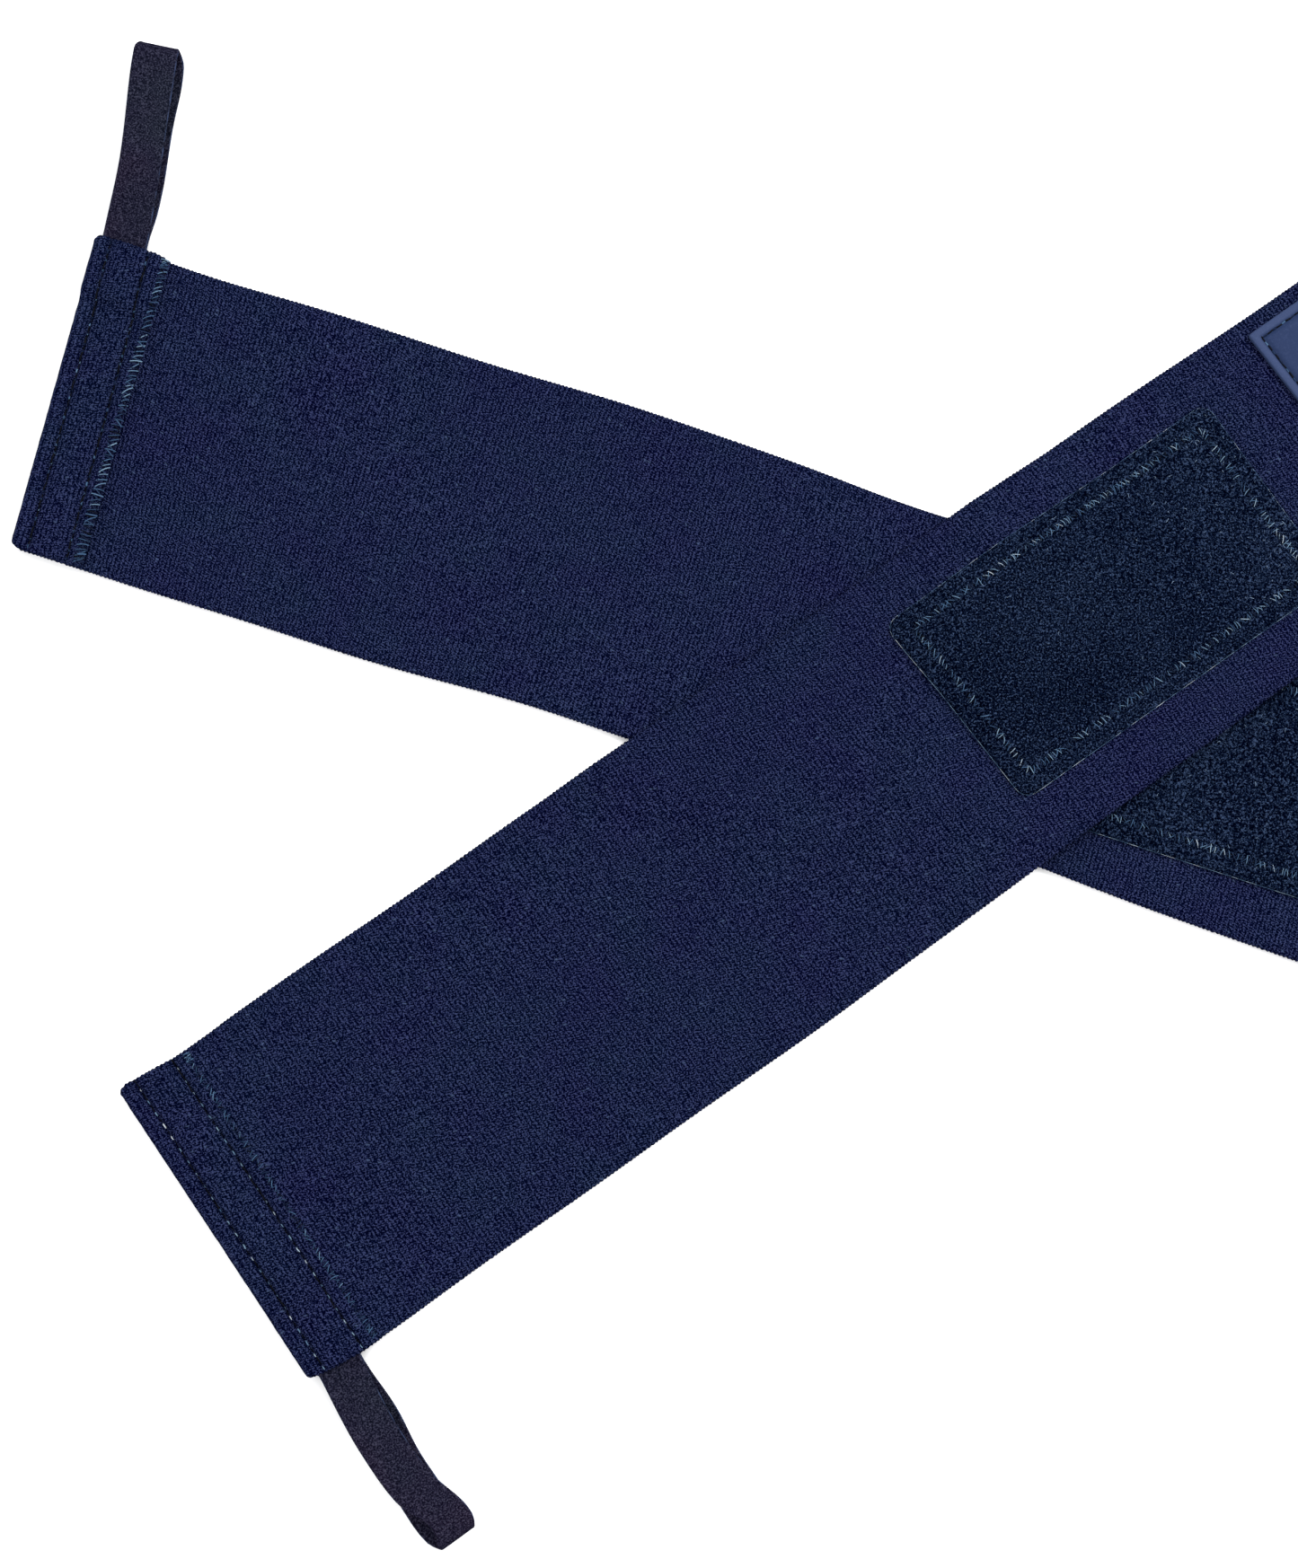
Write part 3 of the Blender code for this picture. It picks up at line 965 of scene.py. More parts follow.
class Fleece(Recipe):
    """Stands small curled loops all over a ground, with a painted sheen that can lighten them towards one side."""

    def __init__(self) -> None:
        """Builds the tree."""
        super().__init__("fleece", {
            "Density": 2.3e6, "Loop": 0.7 * MM, "Rise": 0.42 * MM, "Radius": 0.057 * MM, "Sink": 0.1 * MM,
            "Tilt": 0.7, "Bright": 0.05, "Slope": 0.0, "Middle": 0.0, "Seed": 7,
        })
        given = self.given
        spread = self.add(
            "GeometryNodeDistributePointsOnFaces", {"distribute_method": "RANDOM"},
            {"Mesh": given("Geometry"), "Density": given("Density"), "Seed": given("Seed")},
        )
        curl = self.wire(self.arch(given("Loop"), given("Rise"), 4), given("Radius"), 3, False)
        tilt = given("Tilt")
        lean = self.chance(0.0 - tilt, tilt, 1), self.chance(0.0 - tilt, tilt, 2) * 0.5
        spin = self.joined(*lean, self.chance(0.0, TAU, 3))
        down = self.joined(0.0, 0.0, 0.0 - self.chance(0.0, 1.0, 8) * given("Sink"))
        sunk = self.out("GeometryNodeSetPosition", {}, {"Geometry": spread.outputs["Points"], "Offset": down})
        grown = self.out("GeometryNodeInstanceOnPoints", {}, {
            "Points": sunk, "Instance": curl,
            "Rotation": self.out("FunctionNodeEulerToRotation", {}, {0: spin}),
            "Scale": self.joined(self.chance(0.55, 1.5, 4), 1.0, self.chance(0.55, 1.15, 9)),
        })
        luck = self.chance(0.0, 1.0, 5)
        bright = (given("Bright") - self.chance(0.0, 1.0, 6)).above(0.0)
        x, y, _ = self.parts(self.out("GeometryNodeInputPosition"))
        # Painted sheen: the tone rises along the world's x plus y away from the middle, so one end of the patch looks
        # lit.
        tone = luck * 0.9 + bright * 0.25 - 0.1 + (x + y - given("Middle")) * given("Slope")
        self.close(self.toned(grown, tone))


# ---------------------------------------------------------------- where the cloth lies


def fall(distance: Array, width: float) -> Array:
    """One at no distance, easing down to nothing at the width."""
    x = np.clip(distance / width, 0.0, 1.0)
    return 1.0 - x * x * (3.0 - 2.0 * x)


def outside(value: Array, low: float, high: float) -> Array:
    """How far a value is outside a range."""
    return np.maximum(np.maximum(low - value, value - high), 0.0)


def swell(value: Array, at: float, spread: float) -> Array:
    """A smooth hump of height one at a place."""
    return np.exp(-(((value - at) / spread) ** 2))


@dataclass(frozen=True)
class BandSizes:
    """The knitted band's sizes, in metres."""

    width: float = 76.0 * MM
    length: float = 460.0 * MM
    thick: float = 2.0 * MM
    gap: float = 0.3 * MM
    flap_gap: float = 0.3 * MM * 0.6
    near_piece: float = 84.0 * MM
    far_piece: float = 350.0 * MM
    curl: float = 112.0 * MM
    hem_flap: float = 17.2 * MM
    far_flap: float = 8.5 * MM
    tab_rise_start: float = 397.5 * MM
    tab_rise_length: float = 6.5 * MM
    lay_margin: float = 5.5 * MM
    band_slope: float = 14.0 * MM
    patch_slope: float = 16.0 * MM


@dataclass(frozen=True)
class TrimSizes:
    """The sizes of what is sewn to the band, in metres."""

    patch_length: float = 88.0 * MM
    patch_width: float = 49.0 * MM
    patch_thick: float = 1.6 * MM
    patch_corner: float = 3.2 * MM
    patch_seam: float = 4.5 * MM
    label_after_patch: float = 19.0 * MM
    label_length: float = 60.0 * MM
    label_width: float = 66.0 * MM
    label_seam: float = 2.0 * MM
    hook_start: float = 405.0 * MM
    hook_length: float = 44.0 * MM
    hook_width: float = 50.0 * MM
    hook_thick: float = 1.2 * MM
    tape_width: float = 10.0 * MM
    tape_thick: float = 0.8 * MM
    tape_centre: float = 7.8 * MM
    tail: float = 12.0 * MM
    loop_height: float = 6.8 * MM
    row_1: float = 4.2 * MM
    row_2: float = 13.4 * MM
    overlock: float = 17.5 * MM
    thread: float = 0.22 * MM


BAND = BandSizes()
TRIM = TrimSizes()


@dataclass(frozen=True)
class Dip:
    """A place where a band's edge draws in, or out when its depth is negative."""

    at: float
    depth: float
    spread: float


@dataclass(frozen=True)
class Edge:
    """One long edge of a band: its usual distance from the middle and where it strays."""

    rest: float
    dips: tuple[Dip, ...]
    phase: float

    def reach(self, along: Array) -> Array:
        """The edge's distance from the middle line at each place along the band.

        Args:
            along: Places along the band.

        Returns:
            The distances.
        """
        line = np.full_like(along, self.rest)
        for dip in self.dips:
            line = line - dip.depth * swell(along, dip.at, dip.spread)
        wave = np.sin(along / (23.0 * MM) + self.phase) * 0.16
        wave = wave + np.sin(along / (9.1 * MM) + 2.1 * self.phase) * 0.09
        return line + wave * MM


class FlapSide(Enum):
    """Which way the near hem's flap is folded."""

    ON_TOP = 1
    BENEATH = -1


@dataclass
class Lie:
    """How one wrap lies: its place, its edges and its heights."""

    prefix: str
    loop_side: int
    loop_lean: float
    loop_reach: float
    flap: FlapSide
    patch_start: float
    skew: float
    shift: float
    left_edge: Edge
    right_edge: Edge
    beneath: "Lie | None" = None
    origin: Vector = field(init=False)
    along: Vector = field(init=False)
    across: Vector = field(init=False)

    def __post_init__(self) -> None:
        """Finds the strip's place from the wrap's joints."""
        places = {joint["name"]: Vector(joint["pos_m"]) for joint in frame["joints"] if "pos_m" in joint}
        near, far = places[self.prefix + "_curl"], places[self.prefix + "_tab_peel"]
        self.along = Vector((far.x - near.x, far.y - near.y, 0.0)).normalized()
        self.across = Vector((-self.along.y, self.along.x, 0.0))
        self.origin = Vector((near.x, near.y, 0.0)) - self.along * BAND.curl

    def label_start(self) -> float:
        """The label's near edge along the wrap."""
        return self.patch_start + TRIM.patch_length + TRIM.label_after_patch

    def strip_of(self, x: Array, y: Array) -> tuple[Array, Array]:
        """A floor point's places along and across this wrap."""
        dx, dy = x - self.origin.x, y - self.origin.y
        return dx * self.along.x + dy * self.along.y, dx * self.across.x + dy * self.across.y

    def world(self, s: Array, t: Array, z: Array) -> Array:
        """Points in the world from places along and across the wrap and heights, with the hem's skew.

        Args:
            s: Places along the wrap.
            t: Places across it.
            z: Heights.

        Returns:
            The points, by three.
        """
        half = BAND.width / 2
        pull = (self.shift + self.skew * np.clip(t, -half, half)) * fall(s - 20.0 * MM, 70.0 * MM)
        s, t, z = np.broadcast_arrays(s + pull, t, z)
        return np.stack((*self.plan(s, t), z), axis=-1)

    def point(self, s: float, t: float, z: float) -> Vector:
        """One point in the world, without the hem's skew."""
        return self.origin + self.along * s + self.across * t + Vector((0.0, 0.0, z))

    def plan(self, s: Array, t: Array) -> tuple[Array, Array]:
        """The floor point below a place on the strip."""
        x = self.origin.x + self.along.x * s + self.across.x * t
        y = self.origin.y + self.along.y * s + self.across.y * t
        return x, y

    def tail_rise(self, s: Array, t: Array) -> Array:
        """How far cloth over the thumb loop's tail is pushed up.

        Args:
            s: Places along the wrap.
            t: Places across it.

        Returns:
            The rise at each place.
        """
        reach = TRIM.tape_width / 2
        along = outside(s, TRIM.tape_centre - reach, TRIM.tape_centre + reach)
        across = outside(self.loop_side * t, BAND.width / 2 - TRIM.tail, BAND.width)
        return (2 * TRIM.tape_thick + BAND.gap) * fall(np.maximum(along, across) - 1.2 * MM, 4.0 * MM)

    def hump(self, s: Array, t: Array) -> Array:
        """How far this wrap is pushed up by the wrap that it lies across.

        Args:
            s: Places along the wrap.
            t: Places across it.

        Returns:
            The rise at each place.
        """
        if self.beneath is None:
            return np.zeros(np.broadcast(s, t).shape)
        under_s, under_t = self.beneath.strip_of(*self.plan(s, t))
        half = BAND.width / 2
        off_band = outside(under_t, -half, half) - BAND.lay_margin
        start = self.beneath.patch_start
        off_patch = np.maximum(
            outside(under_s, start, start + TRIM.patch_length),
            outside(under_t, -TRIM.patch_width / 2, TRIM.patch_width / 2),
        ) - BAND.lay_margin
        over_band = (BAND.thick + BAND.gap) * fall(off_band, BAND.band_slope)
        clearance = TRIM.patch_thick + 2 * TRIM.thread + 2 * BAND.gap
        return over_band + clearance * fall(off_patch, BAND.patch_slope)

    def ripple(self, s: Array, t: Array) -> Array:
        """The slight unevenness of cloth that lies by itself.

        Args:
            s: Places along the wrap.
            t: Places across it.

        Returns:
            The height at each place.
        """
        turn = 0.0 if self.beneath is None else 1.7
        wave = np.sin(s / (31.0 * MM) + turn + t / (52.0 * MM)) * np.sin(t / (17.0 * MM) + 0.6 + turn)
        wave = wave + 0.5 * np.sin(s / (12.5 * MM) + 2.0 * turn) * np.sin(t / (9.0 * MM) + s / (40.0 * MM))
        return (wave * 0.045 + 0.07) * MM

    def bottom(self, s: Array, t: Array) -> Array:
        """The height of the band's underside away from the hem."""
        height = self.hump(s, t) + self.ripple(s, t)
        over_hooks = 1.0 - fall(s - BAND.tab_rise_start, BAND.tab_rise_length)
        return height + (TRIM.hook_thick + BAND.gap) * over_hooks

    def top(self, s: Array, t: Array) -> Array:
        """The height of the band's upper face away from the hem."""
        return self.bottom(s, t) + BAND.thick

    def stitched(self, s: Array, t: Array) -> Array:
        """How much of its thickness the hem's cloth keeps where its rows of stitches draw it in.

        Args:
            s: Places along the wrap.
            t: Places across it.

        Returns:
            The share that is kept, from 0 to 1.
        """
        dash = 0.80 + 0.20 * np.cos(t / (3.55 * MM) * TAU)
        draw = 0.0
        for row in (TRIM.row_1, TRIM.row_2):
            draw = draw + 0.17 * swell(s, row, 1.6 * MM) + 0.27 * swell(s, row, 0.42 * MM)
        return 1.0 - draw * dash

    def hem_levels(self, s: Array, t: Array) -> tuple[Array, Array, Array]:
        """The near hem's two layers.

        Args:
            s: Places along.
            t: Places across.

        Returns:
            The lower layer's middle height, the upper layer's, and the cloth's thickness there.
        """
        thick = BAND.thick * self.stitched(s, t)
        low = thick / 2 + self.ripple(s, t) * 0.5
        high = low + thick + BAND.flap_gap + self.tail_rise(s, t)
        return low, high, thick

    def hem_top(self, s: Array, t: Array) -> Array:
        """The height of the near hem's upper face, flap or band."""
        low, high, thick = self.hem_levels(s, t)
        return high + thick / 2


# ---------------------------------------------------------------- mesh building


def in_metres(*sizes: float) -> tuple[float, ...]:
    """Sizes in millimetres as metres."""
    return tuple(size * MM for size in sizes)


def grid_quads(index: Array) -> Array:
    """The faces of a grid of vertex numbers."""
    a, b, c, d = index[:-1, :-1], index[1:, :-1], index[1:, 1:], index[:-1, 1:]
    return np.stack((a, b, c, d), axis=-1).reshape(-1, 4)


def shell(name: str, points: Array, strip: Array) -> bpy.types.Mesh:
    """A closed skin from rings of points.

    Args:
        name: The mesh's name.
        points: Rings by points by three; a ring's point j faces its point that is j from the other end.
        strip: Each point's places along and across the cloth.

    Returns:
        The mesh, with the places as its UV map.
    """
    rings, size, _ = points.shape
    index = np.arange(rings * size).reshape(rings, size)
    near, far = index[:-1], index[1:]
    walls = np.stack((near, np.roll(near, -1, 1), np.roll(far, -1, 1), far), axis=-1).reshape(-1, 4)
    half = size // 2
    j = np.arange(half - 1)
    facing, ahead = size - 1 - j, size - 2 - j
    first = np.stack((index[0, j], index[0, facing], index[0, ahead], index[0, j + 1]), axis=-1)
    last = np.stack((index[-1, j], index[-1, j + 1], index[-1, ahead], index[-1, facing]), axis=-1)
    quads = np.concatenate((walls, first, last))
    return mesh_of(name, points.reshape(-1, 3), quads, strip.reshape(-1, 2))


def mesh_of(name: str, points: Array, quads: Array, strip: Array) -> bpy.types.Mesh:
    """A smooth mesh from points and faces, turned to face outwards.

    Args:
        name: The mesh's name.
        points: Its vertices.
        quads: Its faces.
        strip: Each vertex's places along and across, for the UV map.

    Returns:
        The mesh.
    """
    mesh = bpy.data.meshes.new(name)
    mesh.from_pydata(points.tolist(), [], quads.tolist())
    if volume(points, quads) < 0:
        mesh.flip_normals()
    mesh.shade_smooth()
    layer = mesh.uv_layers.new(name=STRIP_MAP)
    corners = np.empty(len(mesh.loops), dtype=np.int32)
    mesh.loops.foreach_get("vertex_index", corners)
    layer.data.foreach_set("uv", strip[corners].astype(np.float32).ravel())
    mesh.validate()
    return mesh


def volume(points: Array, quads: Array) -> float:
    """The volume inside closed quads, negative when they face inwards."""
    a, b, c, d = (points[quads[:, i]] for i in range(4))
    return float((a * np.cross(b, c)).sum() + (a * np.cross(c, d)).sum()) / 6.0


def path_mesh(name: str, points: Array, closed: bool = False) -> bpy.types.Mesh:
    """A line of edges through points, for a seam to follow.

    Args:
        name: The mesh's name.
        points: The line's points.
        closed: Whether the line goes round.

    Returns:
        The line as a mesh.
    """
    count = len(points)
    edges = [(i, (i + 1) % count) for i in range(count if closed else count - 1)]
    mesh = bpy.data.meshes.new(name)
    mesh.from_pydata(points.tolist(), edges, [])
    return mesh


class Section:
    """A band's cross section: two faces between two rounded edges."""

    def __init__(self, cells: int, arc: int = 4) -> None:
        """Lays out the ring's points.

        Args:
            cells: Cells across a face.
            arc: Points in each quarter of a rounded edge.
        """
        angles = (np.arange(arc) + 0.5) / arc * (math.pi / 2)
        middle = np.linspace(-1.0, 1.0, cells + 1)
        ones = np.ones(arc)
        self.across = np.concatenate((-ones, middle, ones))
        self.bulge = np.concatenate((-np.cos(angles), np.zeros(cells + 1), np.cos(angles[::-1])))
        self.rise = np.concatenate((np.sin(angles), np.ones(cells + 1), np.sin(angles[::-1])))

    def ring(self, left: Array, right: Array, radius: float) -> tuple[Array, Array]:
        """The ring's places across, and its rise on the outer face, for edges at each place.

        Args:
            left: How far the edge on the positive side is from the middle.
            right: How far the other edge is.
            radius: The edge's rounding.

        Returns:
            Places across by ring and point, and heights from -1 to 1 by point.
        """
        middle = (left - right) / 2
        half = (left + right) / 2 - radius
        half_ring = middle[:, None] + half[:, None] * self.across[None] + radius * self.bulge[None]
        across = np.concatenate((half_ring, half_ring[:, ::-1]), axis=1)
        rise = np.concatenate((self.rise, -self.rise[::-1]))
        return across, rise


@dataclass
class Slab:
    """A sewn-on patch: a rounded rectangle with a shaped upper face, laid over the band."""

    start: float
    length: float
    width: float
    corner: float
    stops: tuple[float, ...]
    cell: float
    height: Callable[[Array], Array]
    base: Callable[[Array, Array], Array]
    floor: Callable[[Array], Array] = lambda inset: inset * 0.0
    shift: float = 0.0
    flare: float = 0.0

    def pulled(self, s: Array, t: Array) -> tuple[Array, Array]:
        """Places after the patch has been moved across and its left side stretched."""
        share = (s - self.start - self.length / 2) / (self.length / 2)
        return s + self.flare * share * (t / self.width + 0.5), t + self.shift

    def lines(self, size: float) -> Array:
        """Grid lines from one side to the other, close together along both edges.

        Args:
            size: The length or the width.

        Returns:
            The lines' places.
        """
        start = self.stops[-1]
        cells = max(2, int((size - 2 * start) / self.cell))
        edge = np.array(self.stops[:-1])
        return np.concatenate((edge, np.linspace(start, size - start, cells + 1), size - edge[::-1]))

    def layout(self) -> tuple[Array, Array, Array]:
        """The grid's places.

        Returns:
            Places along and across on the strip, and the distance in from the outline.
        """
        x, y = np.meshgrid(self.lines(self.length), self.lines(self.width), indexing="ij")
        inset = np.minimum(np.minimum(x, self.length - x), np.minimum(y, self.width - y))
        cx = np.clip(x, self.corner, self.length - self.corner)
        cy = np.clip(y, self.corner, self.width - self.corner)
        a, b = x - cx, y - cy
        far = np.hypot(a, b)
        pull = np.where(far > 1e-9, np.maximum(abs(a), abs(b)) / np.maximum(far, 1e-9), 1.0)
        return *self.pulled(self.start + cx + a * pull, cy + b * pull - self.width / 2), inset

    def mesh(self, name: str, lie: Lie) -> bpy.types.Mesh:
        """The patch as a closed mesh on its wrap, with a tone of one round its border.

        Args:
            name: The mesh's name.
            lie: The wrap that it is sewn to.

        Returns:
            The closed mesh.
        """
        s, t, inset = self.layout()
        base = self.base(s, t)
        upper = lie.world(s, t, base + self.height(inset))
        lower = lie.world(s, t, base + self.floor(inset))
        rows, columns = s.shape
        index = np.arange(rows * columns).reshape(rows, columns)
        top = grid_quads(index)
        under = top[:, ::-1] + rows * columns
        rim = np.concatenate((index[:-1, 0], index[-1, :-1], index[:0:-1, -1], index[0, :0:-1]))
        ahead = np.roll(rim, -1)
        side = np.stack((ahead, rim, rim + rows * columns, ahead + rows * columns), axis=-1)
        points = np.concatenate((upper.reshape(-1, 3), lower.reshape(-1, 3)))
        strip = np.stack((s, t), axis=-1).reshape(-1, 2)
        made = mesh_of(name, points, np.concatenate((top, under, side)), np.concatenate((strip, strip)))
        border = (1.0 - np.clip((inset - 1.7 * MM) / (0.5 * MM), 0.0, 1.0)).reshape(-1)
        tones = made.attributes.new(TONE, "FLOAT", "POINT")
        tones.data.foreach_set("value", np.concatenate((border, border)).astype(np.float32))
        return made

    def upper_skin(self, name: str, lie: Lie, margin: float) -> bpy.types.Mesh:
        """The upper face alone, a margin in from the outline, for loops or hooks to stand on.

        Args:
            name: The mesh's name.
            lie: The wrap that it is sewn to.
            margin: How far in from the outline it stops.

        Returns:
            The open mesh.
        """
        s, t, inset = self.layout()
        points = lie.world(s, t, self.base(s, t) + self.height(inset)).reshape(-1, 3)
        rows, columns = s.shape
        quads = grid_quads(np.arange(rows * columns).reshape(rows, columns))
        keep = inset.reshape(-1)[quads].max(axis=1) > margin
        mesh = bpy.data.meshes.new(name)
        mesh.from_pydata(points.tolist(), [], quads[keep].tolist())
        return mesh

    def outline(self, inset: float, step: float, corner: float) -> Array:
        """Points round a rounded rectangle inside the outline.

        Args:
            inset: How far in from the outline.
            step: The distance between points.
            corner: The corners' radius.

        Returns:
            Places along and across on the strip.
        """
        long, wide = self.length - 2 * inset, self.width - 2 * inset
        far, left = long - corner, wide - corner
        knots = []
        for turn, (x, y) in enumerate(((far, left), (corner, left), (corner, corner), (far, corner))):
            for angle in np.linspace(turn * math.pi / 2, (turn + 1) * math.pi / 2, 5):
                knots.append((x + corner * math.cos(angle), y + corner * math.sin(angle)))
        knots.append(knots[0])
        places = []
        for (x0, y0), (x1, y1) in zip(knots, knots[1:]):
            count = max(1, int(math.hypot(x1 - x0, y1 - y0) / step))
            for i in range(count):
                places.append((x0 + (x1 - x0) * i / count, y0 + (y1 - y0) * i / count))
        found = np.array(places) + np.array((self.start + inset, inset - self.width / 2))
        return np.stack(self.pulled(found[:, 0], found[:, 1]), axis=-1)

    def on_top(self, inset: float, corner: float, rise: float, lie: Lie) -> Array:
        """The outline's points in the world, for a seam, at a height above the slab's base.

        Args:
            inset: How far in from the outline.
            corner: The corners' radius.
            rise: The height above the base.
            lie: The wrap.

        Returns:
            The points.
        """
        s, t = self.outline(inset, SEAM_STEP, corner).T
        return lie.world(s, t, self.base(s, t) + rise)


# ---------------------------------------------------------------- the pieces of a wrap


@dataclass
class KnittedBand:
    """The band in three lengths of cloth, with its folded hems."""

    lie: Lie
    finishes: Finishes
    ribs: Ribs
    ring_step: float = 0.2425 * MM
    fold_radius: float = 1.12 * MM
    fold_rings: int = 11
    edge_round: float = 0.95 * MM
    near_cell: float = 0.9 * MM
    centre_cell: float = 2.4 * MM
    far_cell: float = 1.5 * MM
    near_tuck: float = 0.9 * MM
    far_tuck: float = 0.8 * MM
    tip_bend: tuple[float, float] = (63 * MM, 27 * MM)
    curl_bend: tuple[float, float] = (119 * MM, 84 * MM)
    peel_bend: tuple[float, float] = (388 * MM, 428 * MM)

    def cells(self, size: float) -> Section:
        """A cross section with cells of about this size."""
        return Section(int(BAND.width / size))

    def edges(self, s: Array) -> tuple[Array, Array]:
        """Both edges' distances from the middle."""
        return self.lie.left_edge.reach(s), self.lie.right_edge.reach(s)

    def hem_run(self) -> tuple[Array, Array, Array]:
        """The near length's run, from its far end round the fold to the flap's cut edge.

        Returns:
            The run, zero where the fold starts and negative beyond it; places along; and the turn so far.
        """
        fold = self.fold_radius + BAND.thick / 2
        turn = math.pi * self.fold_radius
        main = np.arange(BAND.near_piece - fold, 0.0, -self.ring_step)
        arc = np.linspace(0.0, -turn, self.fold_rings)
        flap = np.arange(self.ring_step, BAND.hem_flap - fold + self.ring_step / 2, self.ring_step)
        q = np.concatenate((main, arc, -turn - flap))
        angle = np.clip(-q / self.fold_radius, 0.0, math.pi)
        round_fold = fold - self.fold_radius * np.sin(angle)
        s = np.where(q > 0, fold + q, np.where(q < -turn, fold - q - turn, round_fold))
        return q, s, angle

    def hem_middles(self, s: Array, t: Array) -> tuple[Array, Array, Array]:
        """The heights of the band's and the flap's middles, and the cloth's thickness, near the hem.

        Args:
            s: Places along the wrap.
            t: Places across it.

        Returns:
            The band's middle height, the flap's and the thickness.
        """
        low, high, thick = self.lie.hem_levels(s, t)
        plain = self.lie.top(s, t) - BAND.thick / 2
        if self.lie.flap is FlapSide.ON_TOP:
            share = fall(s - 24.0 * MM, 30.0 * MM)
            return low * share + plain * (1 - share), high, thick
        share = fall(s - BAND.hem_flap - 1.0 * MM, 7.0 * MM)
        return high * share + plain * (1 - share), low, thick

    def near(self) -> bpy.types.Object:
        """The near length, folded over into the hem.

        Returns:
            The piece.
        """
        lie, turn = self.lie, math.pi * self.fold_radius
        q, s, angle = self.hem_run()
        left, right = self.edges(s)
        tuck = self.near_tuck * fall(s, 3.2 * MM) ** 2
        t, rise = self.cells(self.near_cell).ring(left - tuck, right - tuck, self.edge_round)
        sg, ag, qg = s[:, None], angle[:, None], q[:, None]
        main_z, flap_z, thick = self.hem_middles(sg, t)
        mid, half = (main_z + flap_z) / 2, (flap_z - main_z) / 2
        z = np.where(qg > 0, main_z, np.where(qg < -turn, flap_z, mid - half * np.cos(ag)))
        lift = rise[None, :] * thick / 2 * self.raw_edge(qg - q[-1])
        nz, ns = -lie.flap.value * np.cos(ag), -np.sin(ag)
        near_fold = np.where(qg > 0, fall(qg, 3.0 * MM), 0.0)
        z = z + self.pucker(sg, t) * (nz * rise[None, :] > 0) * (1 - near_fold)
        points = lie.world(sg + ns * lift, t, z + nz * lift)
        run = self.fold_radius + BAND.thick / 2 + qg
        strip = np.stack(np.broadcast_arrays(run, t), axis=-1)
        return self.finished("band_near", points, strip, "band_end", "hem_flap")

    def raw_edge(self, left: Array) -> Array:
        """How much of its thickness the cloth keeps near its cut end, from the length that is left."""
        near = np.clip(1.0 - (left + 0.04 * MM) / (0.9 * MM), 0.0, 1.0)
        return np.sqrt(1.0 - near ** 2)

    def pucker(self, s: Array, t: Array) -> Array:
        """The small gathers that the hem's seams pull into the upper face.

        Args:
            s: Places along the wrap.
            t: Places across it.

        Returns:
            The height at each place.
        """
        near = swell(s, 19.5 * MM, 5.0 * MM) + 0.6 * swell(s, 8.6 * MM, 4.0 * MM)
        near = near + 0.4 * swell(s, 0.0, 3.0 * MM)
        wave = np.sin(t / (3.5 * MM) * TAU + s / (3.0 * MM)) + 0.8 * np.sin(t / (5.6 * MM) * TAU + 1.3)
        return 0.07 * MM * near * wave

    def centre(self) -> bpy.types.Object:
        """The long middle length, with no fold.

        Returns:
            The piece.
        """
        count = round((BAND.far_piece - BAND.near_piece) / self.ring_step)
        s = np.linspace(BAND.near_piece, BAND.far_piece, count + 1)
        left, right = self.edges(s)
        t, rise = self.cells(self.centre_cell).ring(left, right, self.edge_round)
        sg = s[:, None]
        middle = self.lie.top(sg, t) - BAND.thick / 2
        pull = self.label_pull(sg, t) * (rise[None, :] > 0)
        points = self.lie.world(sg, t, middle + rise[None, :] * BAND.thick / 2 + pull)
        strip = np.stack(np.broadcast_arrays(sg, t), axis=-1)
        return self.finished("band_centre", points, strip, "band_mid", "band_main")

    def label_pull(self, s: Array, t: Array) -> Array:
        """The knit drawn down into a shallow trough along the label's near edge."""
        inside = fall(abs(t) - TRIM.label_width / 2, 3.0 * MM)
        return -0.25 * MM * swell(s, self.lie.label_start() - 0.6 * MM, 2.2 * MM) * inside

    def far(self) -> bpy.types.Object:
        """The far length, with its narrow hem folded on top.

        Returns:
            The piece.
        """
        lie = self.lie
        turn = math.pi * self.fold_radius
        fold = BAND.length - self.fold_radius - BAND.thick / 2
        main = np.arange(BAND.far_piece, fold, self.ring_step)
        arc = np.linspace(0.0, turn, self.fold_rings)
        flap = np.arange(self.ring_step, BAND.far_flap - (BAND.length - fold), self.ring_step)
        s = np.concatenate((main, fold + self.fold_radius * np.sin(arc / self.fold_radius), fold - flap))
        q = np.concatenate((main - fold, arc, turn + flap))
        angle = np.clip(q / self.fold_radius, 0.0, math.pi)[:, None]
        left, right = self.edges(s)
        tuck = self.far_tuck * fall(BAND.length - s, 3.0 * MM) ** 2
        t, rise = self.cells(self.far_cell).ring(left - tuck, right - tuck, self.edge_round)
        sg, qg = s[:, None], q[:, None]
        thick = BAND.thick * (1 - 0.2 * swell(sg, BAND.length - 4.5 * MM, 0.9 * MM))
        main_z = lie.bottom(sg, t) + thick / 2
        flap_z = main_z + thick + BAND.flap_gap
        mid, half = (main_z + flap_z) / 2, (flap_z - main_z) / 2
        z = np.where(qg < 0, main_z, np.where(qg > turn, flap_z, mid - half * np.cos(angle)))
        lift = rise[None, :] * thick / 2 * self.raw_edge(q[-1] - qg)
        nz, ns = -np.cos(angle), np.sin(angle)
        points = lie.world(sg + ns * lift, t, z + nz * lift)
        strip = np.stack(np.broadcast_arrays(fold + qg, t), axis=-1)
        return self.finished("band_far", points, strip, "band_tab", "far_hem_flap")

